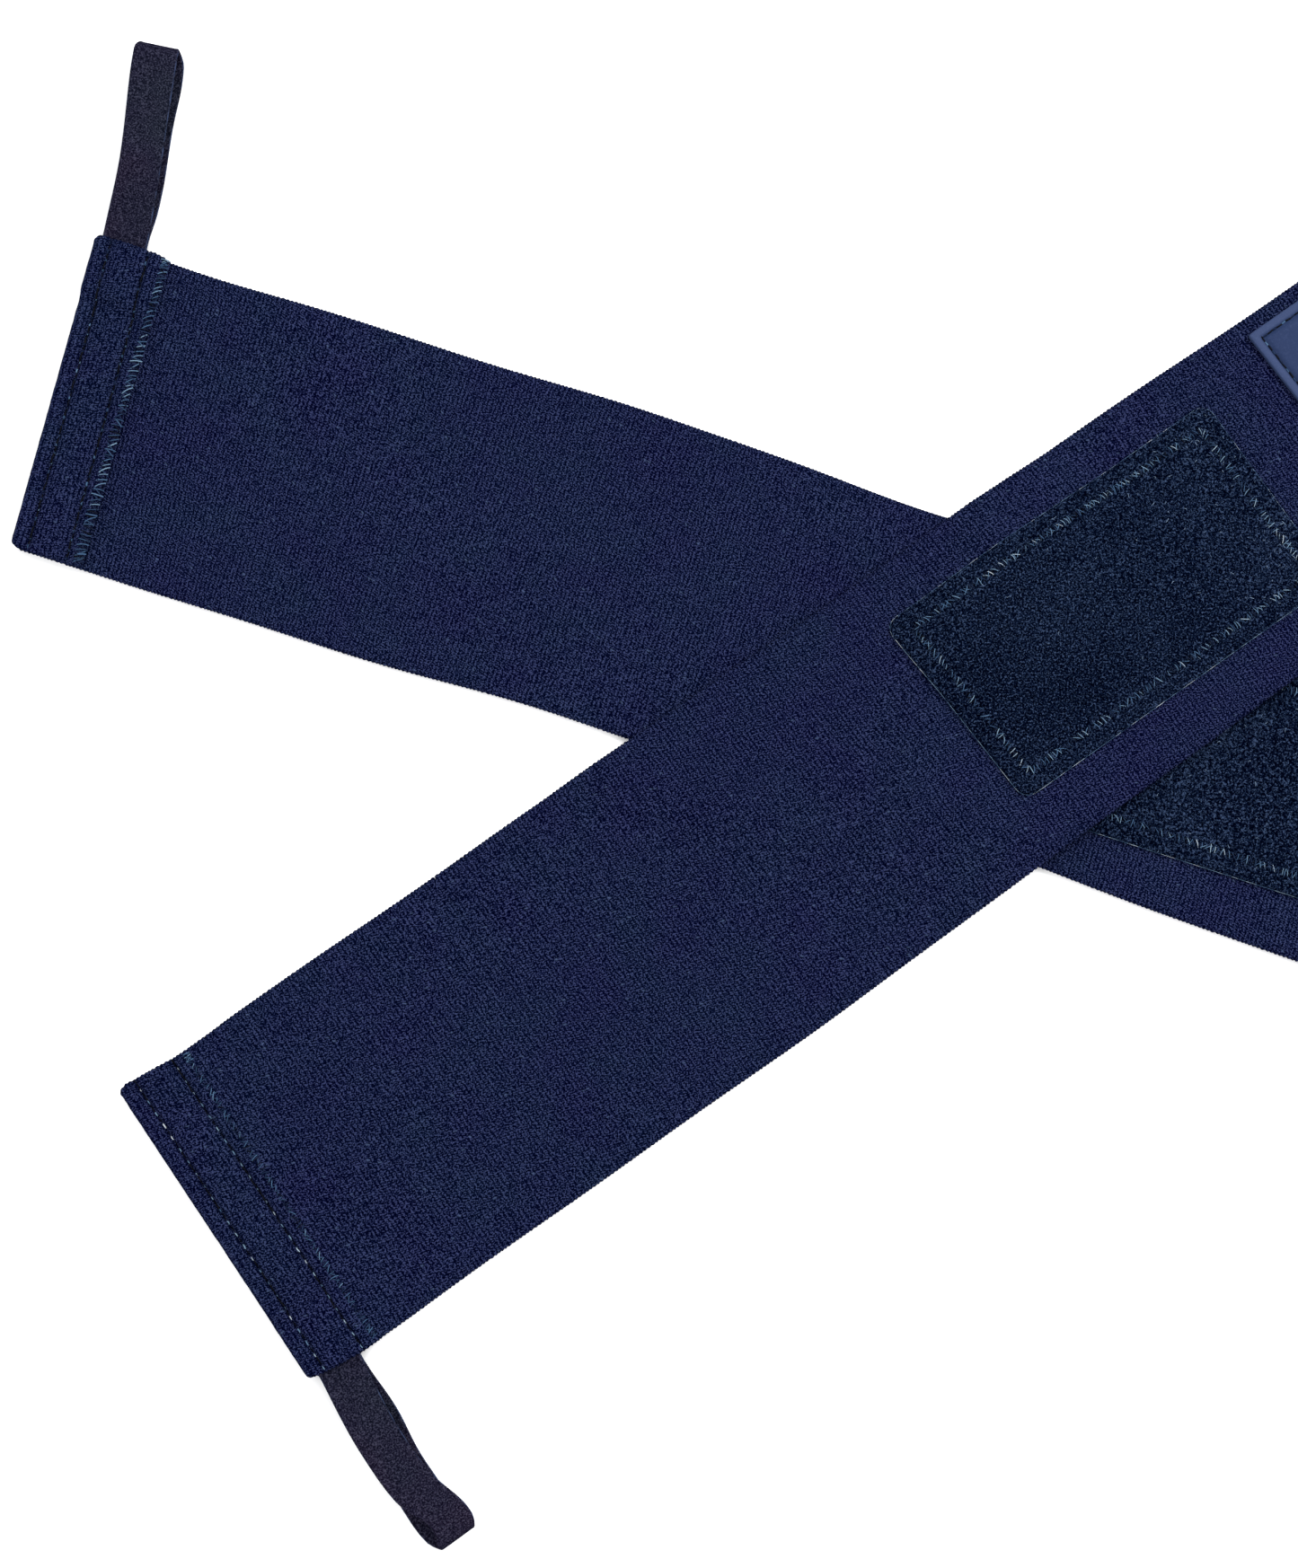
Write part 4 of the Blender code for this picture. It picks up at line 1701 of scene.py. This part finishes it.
    def finished(self, name: str, points: Array, strip: Array, *nodes: str) -> bpy.types.Object:
        """Ribs a length, and names what it stands for.

        Args:
            name: The length's name without its wrap.
            points: Rings of points by points by three.
            strip: Each point's places along and across the cloth.
            nodes: The CAD nodes that it stands for.

        Returns:
            The piece.
        """
        name = f"{self.lie.prefix}_{name}"
        made = self.ribs.bake(name, shell(name, points, strip), Material=self.finishes.knit)
        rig.replaces(made, *(f"{self.lie.prefix}_{node}" for node in nodes))
        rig.slot(made, "knit")
        return made

    def build(self) -> dict[str, bpy.types.Object]:
        """Builds and joins the three lengths to their bodies.

        Returns:
            The lengths by their place.
        """
        lie = self.lie
        near, centre, far = self.near(), self.centre(), self.far()
        main, mid, end, tab = (f"{lie.prefix}_{body}" for body in ("main", "mid", "end", "tab"))
        for made, still, moving, bend in (
            (near, mid, end, self.tip_bend),
            (centre, main, mid, self.curl_bend),
            (far, main, tab, self.peel_bend),
        ):
            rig.blend(made, still, moving, *(lie.point(place, 0, 0) for place in bend))
        return {"near": near, "centre": centre, "far": far}


@dataclass
class ThumbLoop:
    """The tape loop for the thumb: its tail in the hem and its flattened ring beside the band."""

    lie: Lie
    finishes: Finishes
    step: float = 0.6 * MM
    corner_round: float = 0.38 * MM
    cord_rise: float = 0.22
    fold_ends: tuple[float, float] = (36.4 * MM, 44.4 * MM)

    def centre_line(self) -> tuple[Array, Array, Array]:
        """The tape's middle line.

        Returns:
            Distances out from the band's edge, heights, and one on the lower leg and zero on the upper.
        """
        thick = TRIM.tape_thick
        root = BAND.thick + BAND.gap
        tip = self.lie.loop_reach - TRIM.loop_height / 2
        radius = TRIM.loop_height / 2 - thick / 2
        out = np.arange(-TRIM.tail + 0.4 * MM, tip, self.step)
        low = root * fall(out, 10 * MM) * (out > 0) + root * (out <= 0) + thick / 2
        top = root + thick * 1.5
        high = top + (TRIM.loop_height - thick / 2 - top) * (1 - fall(out, 18 * MM)) * (out > 0)
        angle = np.linspace(-math.pi / 2, math.pi / 2, 17)[1:-1]
        x = np.concatenate((out, tip + radius * np.cos(angle), out[::-1]))
        z = np.concatenate((low, TRIM.loop_height / 2 + radius * np.sin(angle), high[::-1]))
        lower = np.concatenate((np.ones_like(out), np.linspace(1, 0, len(angle)), np.zeros_like(out)))
        return x, z, lower

    def drape(self, share: Array, lower: Array) -> tuple[Array, Array, Array]:
        """How the tape strays from a straight loop.

        Args:
            share: How far out each place is, from 0 at the band to 1 at the tip.
            lower: One on the lower leg and zero on the upper.

        Returns:
            How far the middle shifts sideways, and the tape's half widths to either side of it.
        """
        if self.lie.flap is FlapSide.ON_TOP:
            slip = 0.75 * MM * lower * swell(share, 0.86, 0.17) - 0.9 * MM * fall(share, 0.4)
            sway = 0.35 * MM * np.sin(share * math.pi * 1.6)
            wide = 5.0 * MM + 0.25 * MM * swell(share, 0.85, 0.25) + 0.3 * MM * fall(share, 0.4)
            narrow = 0.0
        else:
            slip = 1.25 * MM * lower * swell(share, 0.33, 0.19)
            slip = slip + (1.5 * (1 - lower) - 0.8 * lower) * MM * swell(share, 0.88, 0.14) - 0.6 * MM
            sway = -1.7 * MM * np.sin(share * math.pi)
            wide = 5.0 * MM - 0.15 * MM * swell(share, 0.5, 0.3)
            narrow = 1.1 * MM * (1 - lower) * swell(share, 0.88, 0.1)
        wide = wide - 0.9 * MM * np.clip((share - 0.955) / 0.045, 0, 1) ** 2
        return slip + sway, wide, wide - narrow

    def build(self) -> bpy.types.Object:
        """Sweeps the tape along its line.

        Returns:
            The piece.
        """
        lie, side = self.lie, self.lie.loop_side
        x, z, lower = self.centre_line()
        share = np.clip(x / lie.loop_reach, 0.0, 1.0)
        shift, wide, other = self.drape(share, lower)
        shift = shift - math.tan(lie.loop_lean) * np.maximum(x, 0.0)
        ahead = np.stack((np.gradient(x), np.gradient(z)), axis=-1)
        ahead /= np.linalg.norm(ahead, axis=1)[:, None]
        across, rise = Section(12, 3).ring(wide, other, self.corner_round)
        half = TRIM.tape_width / 2
        cord = 1.0 + self.cord_rise * swell(np.abs(across), 4.55 * MM, 0.35 * MM)
        lift = np.broadcast_to(rise, across.shape) * TRIM.tape_thick / 2 * cord
        out = x[:, None] - ahead[:, 1:2] * lift
        up = z[:, None] + ahead[:, 0:1] * lift
        tilt = 0.25 * MM * np.sin(share * math.pi)[:, None] * (across / half) * (1 - lower[:, None])
        slant = 0.10 * across * share[:, None] if lie.flap is FlapSide.ON_TOP else 0.0
        s = TRIM.tape_centre + across + shift[:, None]
        points = lie.world(s, side * (BAND.width / 2 + out + slant), up + tilt)
        run = np.concatenate(([0.0], np.cumsum(np.hypot(np.diff(x), np.diff(z)))))
        even = across / np.abs(across).max(axis=1)[:, None] * half
        strip = np.stack(np.broadcast_arrays(run[:, None], even), axis=-1)
        name = f"{lie.prefix}_thumb_loop_tape"
        made = piece(name, shell(name, points, strip))
        made.data.materials.append(self.finishes.tape)
        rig.replaces(made, f"{lie.prefix}_thumb_loop_tail", f"{lie.prefix}_thumb_loop")
        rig.slot(made, "tape")
        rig.blend(
            made, f"{lie.prefix}_end", f"{lie.prefix}_thumb_loop",
            *(lie.point(TRIM.tape_centre, side * place, 0) for place in self.fold_ends),
        )
        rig.sheet(made, flat=(TRIM.tape_width, float(run[-1])), held="folded", rests_on=[])
        return made


def carried(body: str, *pieces: tuple[bpy.types.Object, str]) -> list[bpy.types.Object]:
    """Gives pieces their material slots and lets them ride on a body.

    Args:
        body: The body's name.
        pieces: Each piece and its slot.

    Returns:
        The pieces.
    """
    for made, slot in pieces:
        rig.slot(made, slot)
        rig.ride(made, body)
    return [made for made, _ in pieces]


@dataclass(frozen=True)
class HemSewing:
    """How one kind of near hem is sewn: its rows, and the zigzag over its edge."""

    row: Stitch
    zigzag: Stitch
    inward: float
    tilt: float
    depth: float


HEM_SEWING = {
    FlapSide.ON_TOP: HemSewing(
        Stitch(1.2, 0.72, 0.2, 0.23, 0.0, 0.14, 0.2, 0.65, turn_drop=0.8, turn_stretch=1.5),
        Stitch(0.6, 2.5, 0.42, 0.125, 1.22, 0.4, 0.34, 0.82, turn_drop=0.36, sink=0.16),
        inward=0.6 * MM, tilt=0.013, depth=0.06 * MM,
    ),
    FlapSide.BENEATH: HemSewing(
        Stitch(1.7, 0.95, 0.26, 0.155, 0.0, 0.12, 0.6, 1.0, turn_drop=1.0, turn_stretch=1.4),
        Stitch(0.58, 1.7, 0.46, 0.1, 1.1, 0.6, 0.24, 0.7, turn_drop=0.2, sink=0.12),
        inward=0.8 * MM, tilt=0.0, depth=0.1 * MM,
    ),
}
FAR_ROW = Stitch(3.5, 2.4, 0.3, 0.2, low_tone=0.25, high_tone=0.8)
PATCH_ZIGZAG = Stitch(0.52, 1.75, 0.44, 0.08, 1.1, 0.5, 0.14, 0.9, turn_drop=0.26, sink=0.28)
PATCH_RIM = Stitch(1.1, 1.35, 0.03, 0.085, 0.0, 0.05, 0.35, 0.95, sink=0.05)
LABEL_ROW = Stitch(1.3, 1.25, 0.24, 0.19, 0.0, 0.12, 0.2, 0.74, turn_drop=0.8, turn_stretch=0.5, sink=0.1)
HOOK_ROW = Stitch(3.2, 2.3, 0.3, 0.19, low_tone=0.2, high_tone=0.75)


@dataclass
class HemSeams:
    """The near hem's two straight rows and its overlocked edge, and the far hem's row."""

    lie: Lie
    finishes: Finishes
    seam: Seam
    groove: float = 0.12 * MM
    far_row: float = BAND.length - 4.5 * MM

    def row(
        self, name: str, node: str, body: str, s: float, height: Callable, stitch: Stitch, seed: int,
        tilt: float = 0.0,
    ) -> bpy.types.Object:
        """Lays one row across the band; a zigzag is sewn twice over its ends.

        Args:
            name: The piece's name without its wrap.
            node: The CAD node that it stands for.
            body: The body that it rides on.
            s: The row's place along the band.
            height: Gives the cloth's height from places along and across.
            stitch: The kind of stitch.
            seed: The seam's seed.
            tilt: How far the row's place moves along for each metre across.

        Returns:
            The row of stitches.
        """
        lie = self.lie
        left, right = (float(edge.reach(np.array([s]))[0]) for edge in (lie.left_edge, lie.right_edge))
        t = np.arange(-right + 1.0 * MM, left - 0.8 * MM, 0.5 * MM)
        if stitch.swing:
            t = np.concatenate((t[4::-1], t, t[:-6:-1], t[-4:]))
        place = s + tilt * t
        line = lie.world(place, t, height(place, t))
        made = self.seam.lay(f"{lie.prefix}_{name}", line, stitch, seed, self.finishes.thread)
        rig.replaces(made, f"{lie.prefix}_{node}")
        return carried(f"{lie.prefix}_{body}", (made, "thread"))[0]

    def build(self) -> list[bpy.types.Object]:
        """Lays every row of the wrap's hems.

        Returns:
            The rows of stitches.
        """
        lie, sewing = self.lie, HEM_SEWING[self.lie.flap]

        def over_edge(s: Array, t: Array) -> Array:
            """The upper face over the flap's edge."""
            return lie.hem_top(s, t) - sewing.depth

        def grooved(s: Array, t: Array) -> Array:
            """The bottom of a row's groove."""
            return lie.hem_top(s, t) - self.groove

        def far_top(s: Array, t: Array) -> Array:
            """The far hem's upper face."""
            return lie.bottom(s, t) + 2 * BAND.thick * 0.8 + BAND.flap_gap - 0.1 * MM

        edge = TRIM.overlock - sewing.inward
        return [
            self.row("row_1", "hem_stitch_row_1", "end", TRIM.row_1, grooved, sewing.row, 11),
            self.row("row_2", "hem_stitch_row_2", "end", TRIM.row_2, grooved, sewing.row, 12),
            self.row("overlock", "hem_zigzag", "end", edge, over_edge, sewing.zigzag, 13, sewing.tilt),
            self.row("far_row", "far_hem_stitch", "tab", self.far_row, far_top, FAR_ROW, 14),
        ]


@dataclass
class LoopPatch:
    """The soft loop patch: its ground, its pile and its zigzag seam."""

    lie: Lie
    finishes: Finishes
    fleece: Fleece
    seam: Seam
    ground: float = 1.12 * MM
    edge_round: float = 0.9 * MM
    stretch: float = 1.4 * MM
    rim_height: float = 0.30 * MM
    lay: float = 0.12 * MM
    # How fast the painted sheen lightens the pile along x plus y.
    tone_slope: float = 2.6

    def slab(self) -> Slab:
        """The patch's ground, whose left side is stretched where it lies over the other wrap.

        Returns:
            The slab.
        """
        def height(inset: Array) -> Array:
            """A rounded edge, and a shallow valley where the seam draws the ground down."""
            shoulder = np.sqrt(1 - (1 - np.clip(inset / self.edge_round, 0, 1)) ** 2) * 0.62 + 0.38
            return self.ground * shoulder * (1 - 0.30 * swell(inset, TRIM.patch_seam, 1.15 * MM))

        wider = self.stretch if self.lie.beneath else 0.0
        return Slab(
            start=self.lie.patch_start, length=TRIM.patch_length, width=TRIM.patch_width + wider,
            shift=wider / 2, flare=wider, corner=TRIM.patch_corner, cell=1.3 * MM, height=height,
            stops=in_metres(0, 0.12, 0.35, 0.7, 1.1, 2.0, 2.9, 3.6, 4.2, 4.8, 5.4, 6.2),
            base=lambda s, t: self.lie.top(s, t) + self.lay,
        )

    def build(self) -> list[bpy.types.Object]:
        """Builds the patch.

        Returns:
            The ground, the pile, the zigzag and the rim.
        """
        lie, slab, thread = self.lie, self.slab(), self.finishes.thread
        name = lie.prefix + "_loop_patch"
        ground = piece(name + "_ground", slab.mesh(name + "_ground", lie))
        ground.data.materials.append(self.finishes.pile_ground)
        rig.replaces(ground, name)
        centre = lie.point(slab.start + slab.length / 2, 0.0, 0.0)
        pile = self.fleece.bake(
            name + "_pile", slab.upper_skin("pile", lie, 0.25 * MM), Material=self.finishes.pile,
            Slope=self.tone_slope, Middle=centre.x + centre.y, Seed=7 if lie.beneath else 23,
        )
        line = slab.on_top(TRIM.patch_seam, 1.2 * MM, self.ground * 0.98, lie)
        zigzag = self.seam.lay(name + "_seam", line, PATCH_ZIGZAG, 31 if lie.beneath else 37, thread, True)
        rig.replaces(zigzag, name + "_zigzag")
        line = slab.on_top(0.0, TRIM.patch_corner, self.rim_height, lie)
        edge = self.seam.lay(name + "_edge", line, PATCH_RIM, 43, thread, True)
        return carried(
            lie.prefix + "_main", (ground, "pile"), (pile, "pile"), (zigzag, "thread"), (edge, "thread"),
        )


@dataclass
class RubberLabel:
    """The moulded label: a border, a sewn groove and a raised plain panel."""

    lie: Lie
    finishes: Finishes
    seam: Seam
    border: float = 1.02 * MM
    edge_round: float = 0.35 * MM
    groove: float = 0.42 * MM
    groove_at: float = TRIM.label_seam + 0.35 * MM
    panel_rise: float = 0.10 * MM
    thread_height: float = 0.60 * MM
    lay: float = 0.1 * MM

    def slab(self) -> Slab:
        """The label's moulded shape.

        Returns:
            The slab.
        """
        def height(inset: Array) -> Array:
            """The border, the groove and the panel, from the outline inwards.

            Args:
                inset: Distances in from the outline.

            Returns:
                The height above the base.
            """
            rim = np.sqrt(1 - (1 - np.clip(inset / self.edge_round, 0, 1)) ** 2) * 0.75 + 0.25
            groove = self.groove * swell(inset, self.groove_at, 0.5 * MM)
            panel = self.panel_rise * (1 - fall(inset - 3.0 * MM, 0.5 * MM))
            return self.border * rim - groove + panel

        return Slab(
            start=self.lie.label_start(), length=TRIM.label_length, width=TRIM.label_width,
            corner=0.7 * MM, cell=2.2 * MM, height=height, base=lambda s, t: self.lie.top(s, t) + self.lay,
            stops=in_metres(0, 0.06, 0.16, 0.35, 0.9, 1.5, 1.8, 2.1, 2.35, 2.6, 2.9, 3.1, 3.3, 3.6, 4.2),
        )

    def build(self) -> list[bpy.types.Object]:
        """Builds the label and its stitches.

        Returns:
            The label and its stitches.
        """
        lie, slab = self.lie, self.slab()
        name = lie.prefix + "_label"
        label = piece(name, slab.mesh(name, lie))
        label.data.materials.append(self.finishes.rubber)
        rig.replaces(label, name + "_patch")
        line = slab.on_top(self.groove_at, 0.4 * MM, self.thread_height, lie)
        stitches = self.seam.lay(name + "_seam", line, LABEL_ROW, 41, self.finishes.thread, True)
        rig.replaces(stitches, name + "_stitch")
        return carried(lie.prefix + "_main", (label, "rubber_label"), (stitches, "thread"))


@dataclass
class HookPatch:
    """The hook patch under the far end, its hooks and the seam that shows on top."""

    lie: Lie
    finishes: Finishes
    fleece: Fleece
    seam: Seam
    lay: float = 0.15 * MM
    crown: float = 1.25 * MM
    hollow: float = 0.55 * MM
    rim: float = 0.35 * MM
    hook_root: float = 0.62 * MM

    def build(self) -> list[bpy.types.Object]:
        """Builds the patch, its hooks and its seam.

        Returns:
            The ground, the hooks and the stitches.
        """
        lie = self.lie
        slab = Slab(
            start=TRIM.hook_start, length=TRIM.hook_length, width=TRIM.hook_width, corner=3.0 * MM,
            stops=in_metres(0, 0.15, 0.5, 1.5, 3.0), cell=2.0 * MM,
            height=lambda inset: self.crown + inset * 0.0, base=lambda s, t: self.lay + 0.0 * s * t,
            floor=lambda inset: self.hollow + self.rim * fall(inset, 0.5 * MM),
        )
        name = lie.prefix + "_hook_patch"
        ground = piece(name + "_ground", slab.mesh(name + "_ground", lie))
        ground.data.materials.append(self.finishes.hook_ground)
        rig.replaces(ground, name)
        skin = slab.upper_skin("hooks", lie, 0.8 * MM)
        for vertex in skin.vertices:
            vertex.co.z = self.hook_root
        hooks = self.fleece.bake(
            name + "_hooks", skin, Material=self.finishes.hook, Density=0.75e6, Loop=0.55 * MM,
            Rise=-0.42 * MM, Radius=0.075 * MM, Sink=0.0, Tilt=0.15, Bright=0.3, Seed=53,
        )
        s, t = slab.outline(2.5 * MM, SEAM_STEP, 1.0 * MM).T
        line = lie.world(s, t, lie.top(s, t) - 0.02 * MM)
        stitches = self.seam.lay(lie.prefix + "_hook_seam", line, HOOK_ROW, 59, self.finishes.thread, True)
        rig.replaces(stitches, lie.prefix + "_hook_stitch")
        return carried(
            lie.prefix + "_tab", (ground, "hook_tape"), (hooks, "hook_tape"), (stitches, "thread"),
        )


@dataclass
class HandWrap:
    """One hand wrap with everything that is sewn to it."""

    lie: Lie
    finishes: Finishes
    trees: dict[str, Recipe]

    def build(self) -> None:
        """Builds the wrap's pieces in order and declares its cloth."""
        lie, finishes, trees = self.lie, self.finishes, self.trees
        bands = KnittedBand(lie, finishes, trees["ribs"]).build()
        loop = ThumbLoop(lie, finishes).build()
        seams = HemSeams(lie, finishes, trees["seam"]).build()
        patch = LoopPatch(lie, finishes, trees["fleece"], trees["seam"]).build()
        label = RubberLabel(lie, finishes, trees["seam"]).build()
        hook = HookPatch(lie, finishes, trees["fleece"], trees["seam"]).build()
        rests = []
        if lie.beneath:
            rests = [f"{lie.beneath.prefix}_{part}" for part in ("band_centre", "loop_patch_pile")]
        lengths = {
            "near": BAND.near_piece + BAND.hem_flap,
            "centre": BAND.far_piece - BAND.near_piece,
            "far": BAND.length - BAND.far_piece + BAND.far_flap,
        }
        trims = {"near": seams[:3], "centre": patch, "far": [seams[3], *hook]}
        for key, band in bands.items():
            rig.sheet(
                band, flat=(BAND.width, lengths[key]), held="laid",
                rests_on=rests if key == "centre" else [], with_pieces=trims[key],
            )
        for made in (*bands.values(), loop, *seams, *patch, *label, *hook):
            LOG.info("%s: %d faces", made.name, len(made.data.polygons))


# ---------------------------------------------------------------- the pair and its studio


def lies() -> tuple[Lie, Lie]:
    """How the two wraps lie: the under one first.

    Returns:
        The under wrap's lie and the over wrap's.
    """
    under = Lie(
        prefix="under", loop_side=1, loop_lean=math.radians(11.0), loop_reach=47.0 * MM,
        flap=FlapSide.ON_TOP, patch_start=222.0 * MM, skew=-0.088, shift=0.9 * MM,
        left_edge=Edge(36.9 * MM, (
            Dip(28 * MM, 0.6 * MM, 18 * MM), Dip(126 * MM, -0.4 * MM, 22 * MM),
            Dip(198 * MM, 2.3 * MM, 32 * MM),
        ), 0.4),
        right_edge=Edge(38.1 * MM, (
            Dip(132 * MM, 1.9 * MM, 32 * MM), Dip(226 * MM, 3.0 * MM, 52 * MM),
        ), 2.0),
    )
    over = Lie(
        prefix="over", loop_side=-1, loop_lean=0.0, loop_reach=44.4 * MM,
        flap=FlapSide.BENEATH, patch_start=200.0 * MM, skew=0.010, shift=0.4 * MM,
        left_edge=Edge(38.3 * MM, (
            Dip(0, -0.7 * MM, 6 * MM), Dip(17 * MM, 0.7 * MM, 7 * MM), Dip(180 * MM, 0.8 * MM, 50 * MM),
            Dip(325 * MM, 1.6 * MM, 60 * MM),
        ), 1.1),
        right_edge=Edge(38.3 * MM, (
            Dip(0, 1.4 * MM, 7 * MM), Dip(145 * MM, -0.3 * MM, 30 * MM), Dip(280 * MM, 1.3 * MM, 60 * MM),
        ), 2.9),
        beneath=under,
    )
    return under, over


@dataclass(frozen=True)
class Studio:
    """The camera, the soft light and the pale floor."""

    target: tuple[float, float, float] = (-0.0819, -0.0142, 0.0)
    elevation: float = math.radians(80.0)
    distance: float = 0.6496
    lens: float = 66.67
    world_light: float = 1.5
    floor_reach: float = 4.0

    def camera(self) -> None:
        """Stands the camera above and a little in front."""
        data = bpy.data.cameras.new("camera")
        data.lens, data.sensor_width, data.sensor_fit = self.lens, 36.0, "AUTO"
        data.clip_start, data.clip_end = 0.01, 50.0
        camera = bpy.data.objects.new("camera", data)
        aim = Vector(self.target)
        back = Vector((0.0, -math.cos(self.elevation), math.sin(self.elevation)))
        camera.location = aim + back * self.distance
        camera.rotation_euler = (-back).to_track_quat("-Z", "Y").to_euler()
        bpy.context.scene.collection.objects.link(camera)
        bpy.context.scene.camera = camera

    def lamp(self, name: str, place: tuple[float, float, float], size: float, power: float) -> None:
        """Hangs a soft square lamp that faces the wraps.

        Args:
            name: The lamp's name.
            place: Where it hangs.
            size: Its side's length.
            power: Its power in watts.
        """
        data = bpy.data.lights.new(name, "AREA")
        data.shape, data.size, data.energy = "SQUARE", size, power
        lamp = bpy.data.objects.new(name, data)
        lamp.location = place
        lamp.rotation_euler = (Vector(self.target) - Vector(place)).to_track_quat("-Z", "Y").to_euler()
        bpy.context.scene.collection.objects.link(lamp)

    def build(self, finishes: Finishes) -> None:
        """Sets up the studio.

        Args:
            finishes: The pair's finishes.
        """
        self.camera()
        world = bpy.data.worlds.new("studio")
        world.use_nodes = True
        sky = Graph(world.node_tree)
        background = world.node_tree.nodes["Background"]
        height = sky.parts(sky.out("ShaderNodeTexCoord", take="Generated"))[2]
        stops = ((0.0, (0.35, 0.36, 0.38)), (0.55, (1.0, 1.0, 1.0)))
        sky.feed(background.inputs["Color"], sky.out("ShaderNodeValToRGB", {"stops": stops}, {0: height}))
        background.inputs["Strength"].default_value = self.world_light
        bpy.context.scene.world = world
        bpy.context.scene.view_settings.view_transform = "Standard"
        self.lamp("key_lamp", (0.75, 0.55, 1.0), 0.7, 20.0)
        self.lamp("fill_lamp", (-0.9, -0.5, 1.1), 1.2, 7.0)
        reach = self.floor_reach
        points = [(-reach, -reach, 0.0), (reach, -reach, 0.0), (reach, reach, 0.0), (-reach, reach, 0.0)]
        mesh = bpy.data.meshes.new("floor")
        mesh.from_pydata(points, [], [(0, 1, 2, 3)])
        floor = piece("floor", mesh)
        floor.data.materials.append(finishes.floor)
        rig.stage(floor)


def main() -> None:
    logging.basicConfig(level=logging.INFO, format="%(name)s %(message)s")
    finishes = Finishes()
    Studio().build(finishes)
    trees = {"ribs": Ribs(), "seam": Seam(), "fleece": Fleece()}
    for lie in lies():
        HandWrap(lie, finishes, trees).build()
    boxes = {"cad": CAD_BOX, "visual": [list(corner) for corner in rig.bounds()]}
    with open("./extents.json", "w") as file:
        json.dump(boxes, file)


if __name__ == "__main__":
    main()
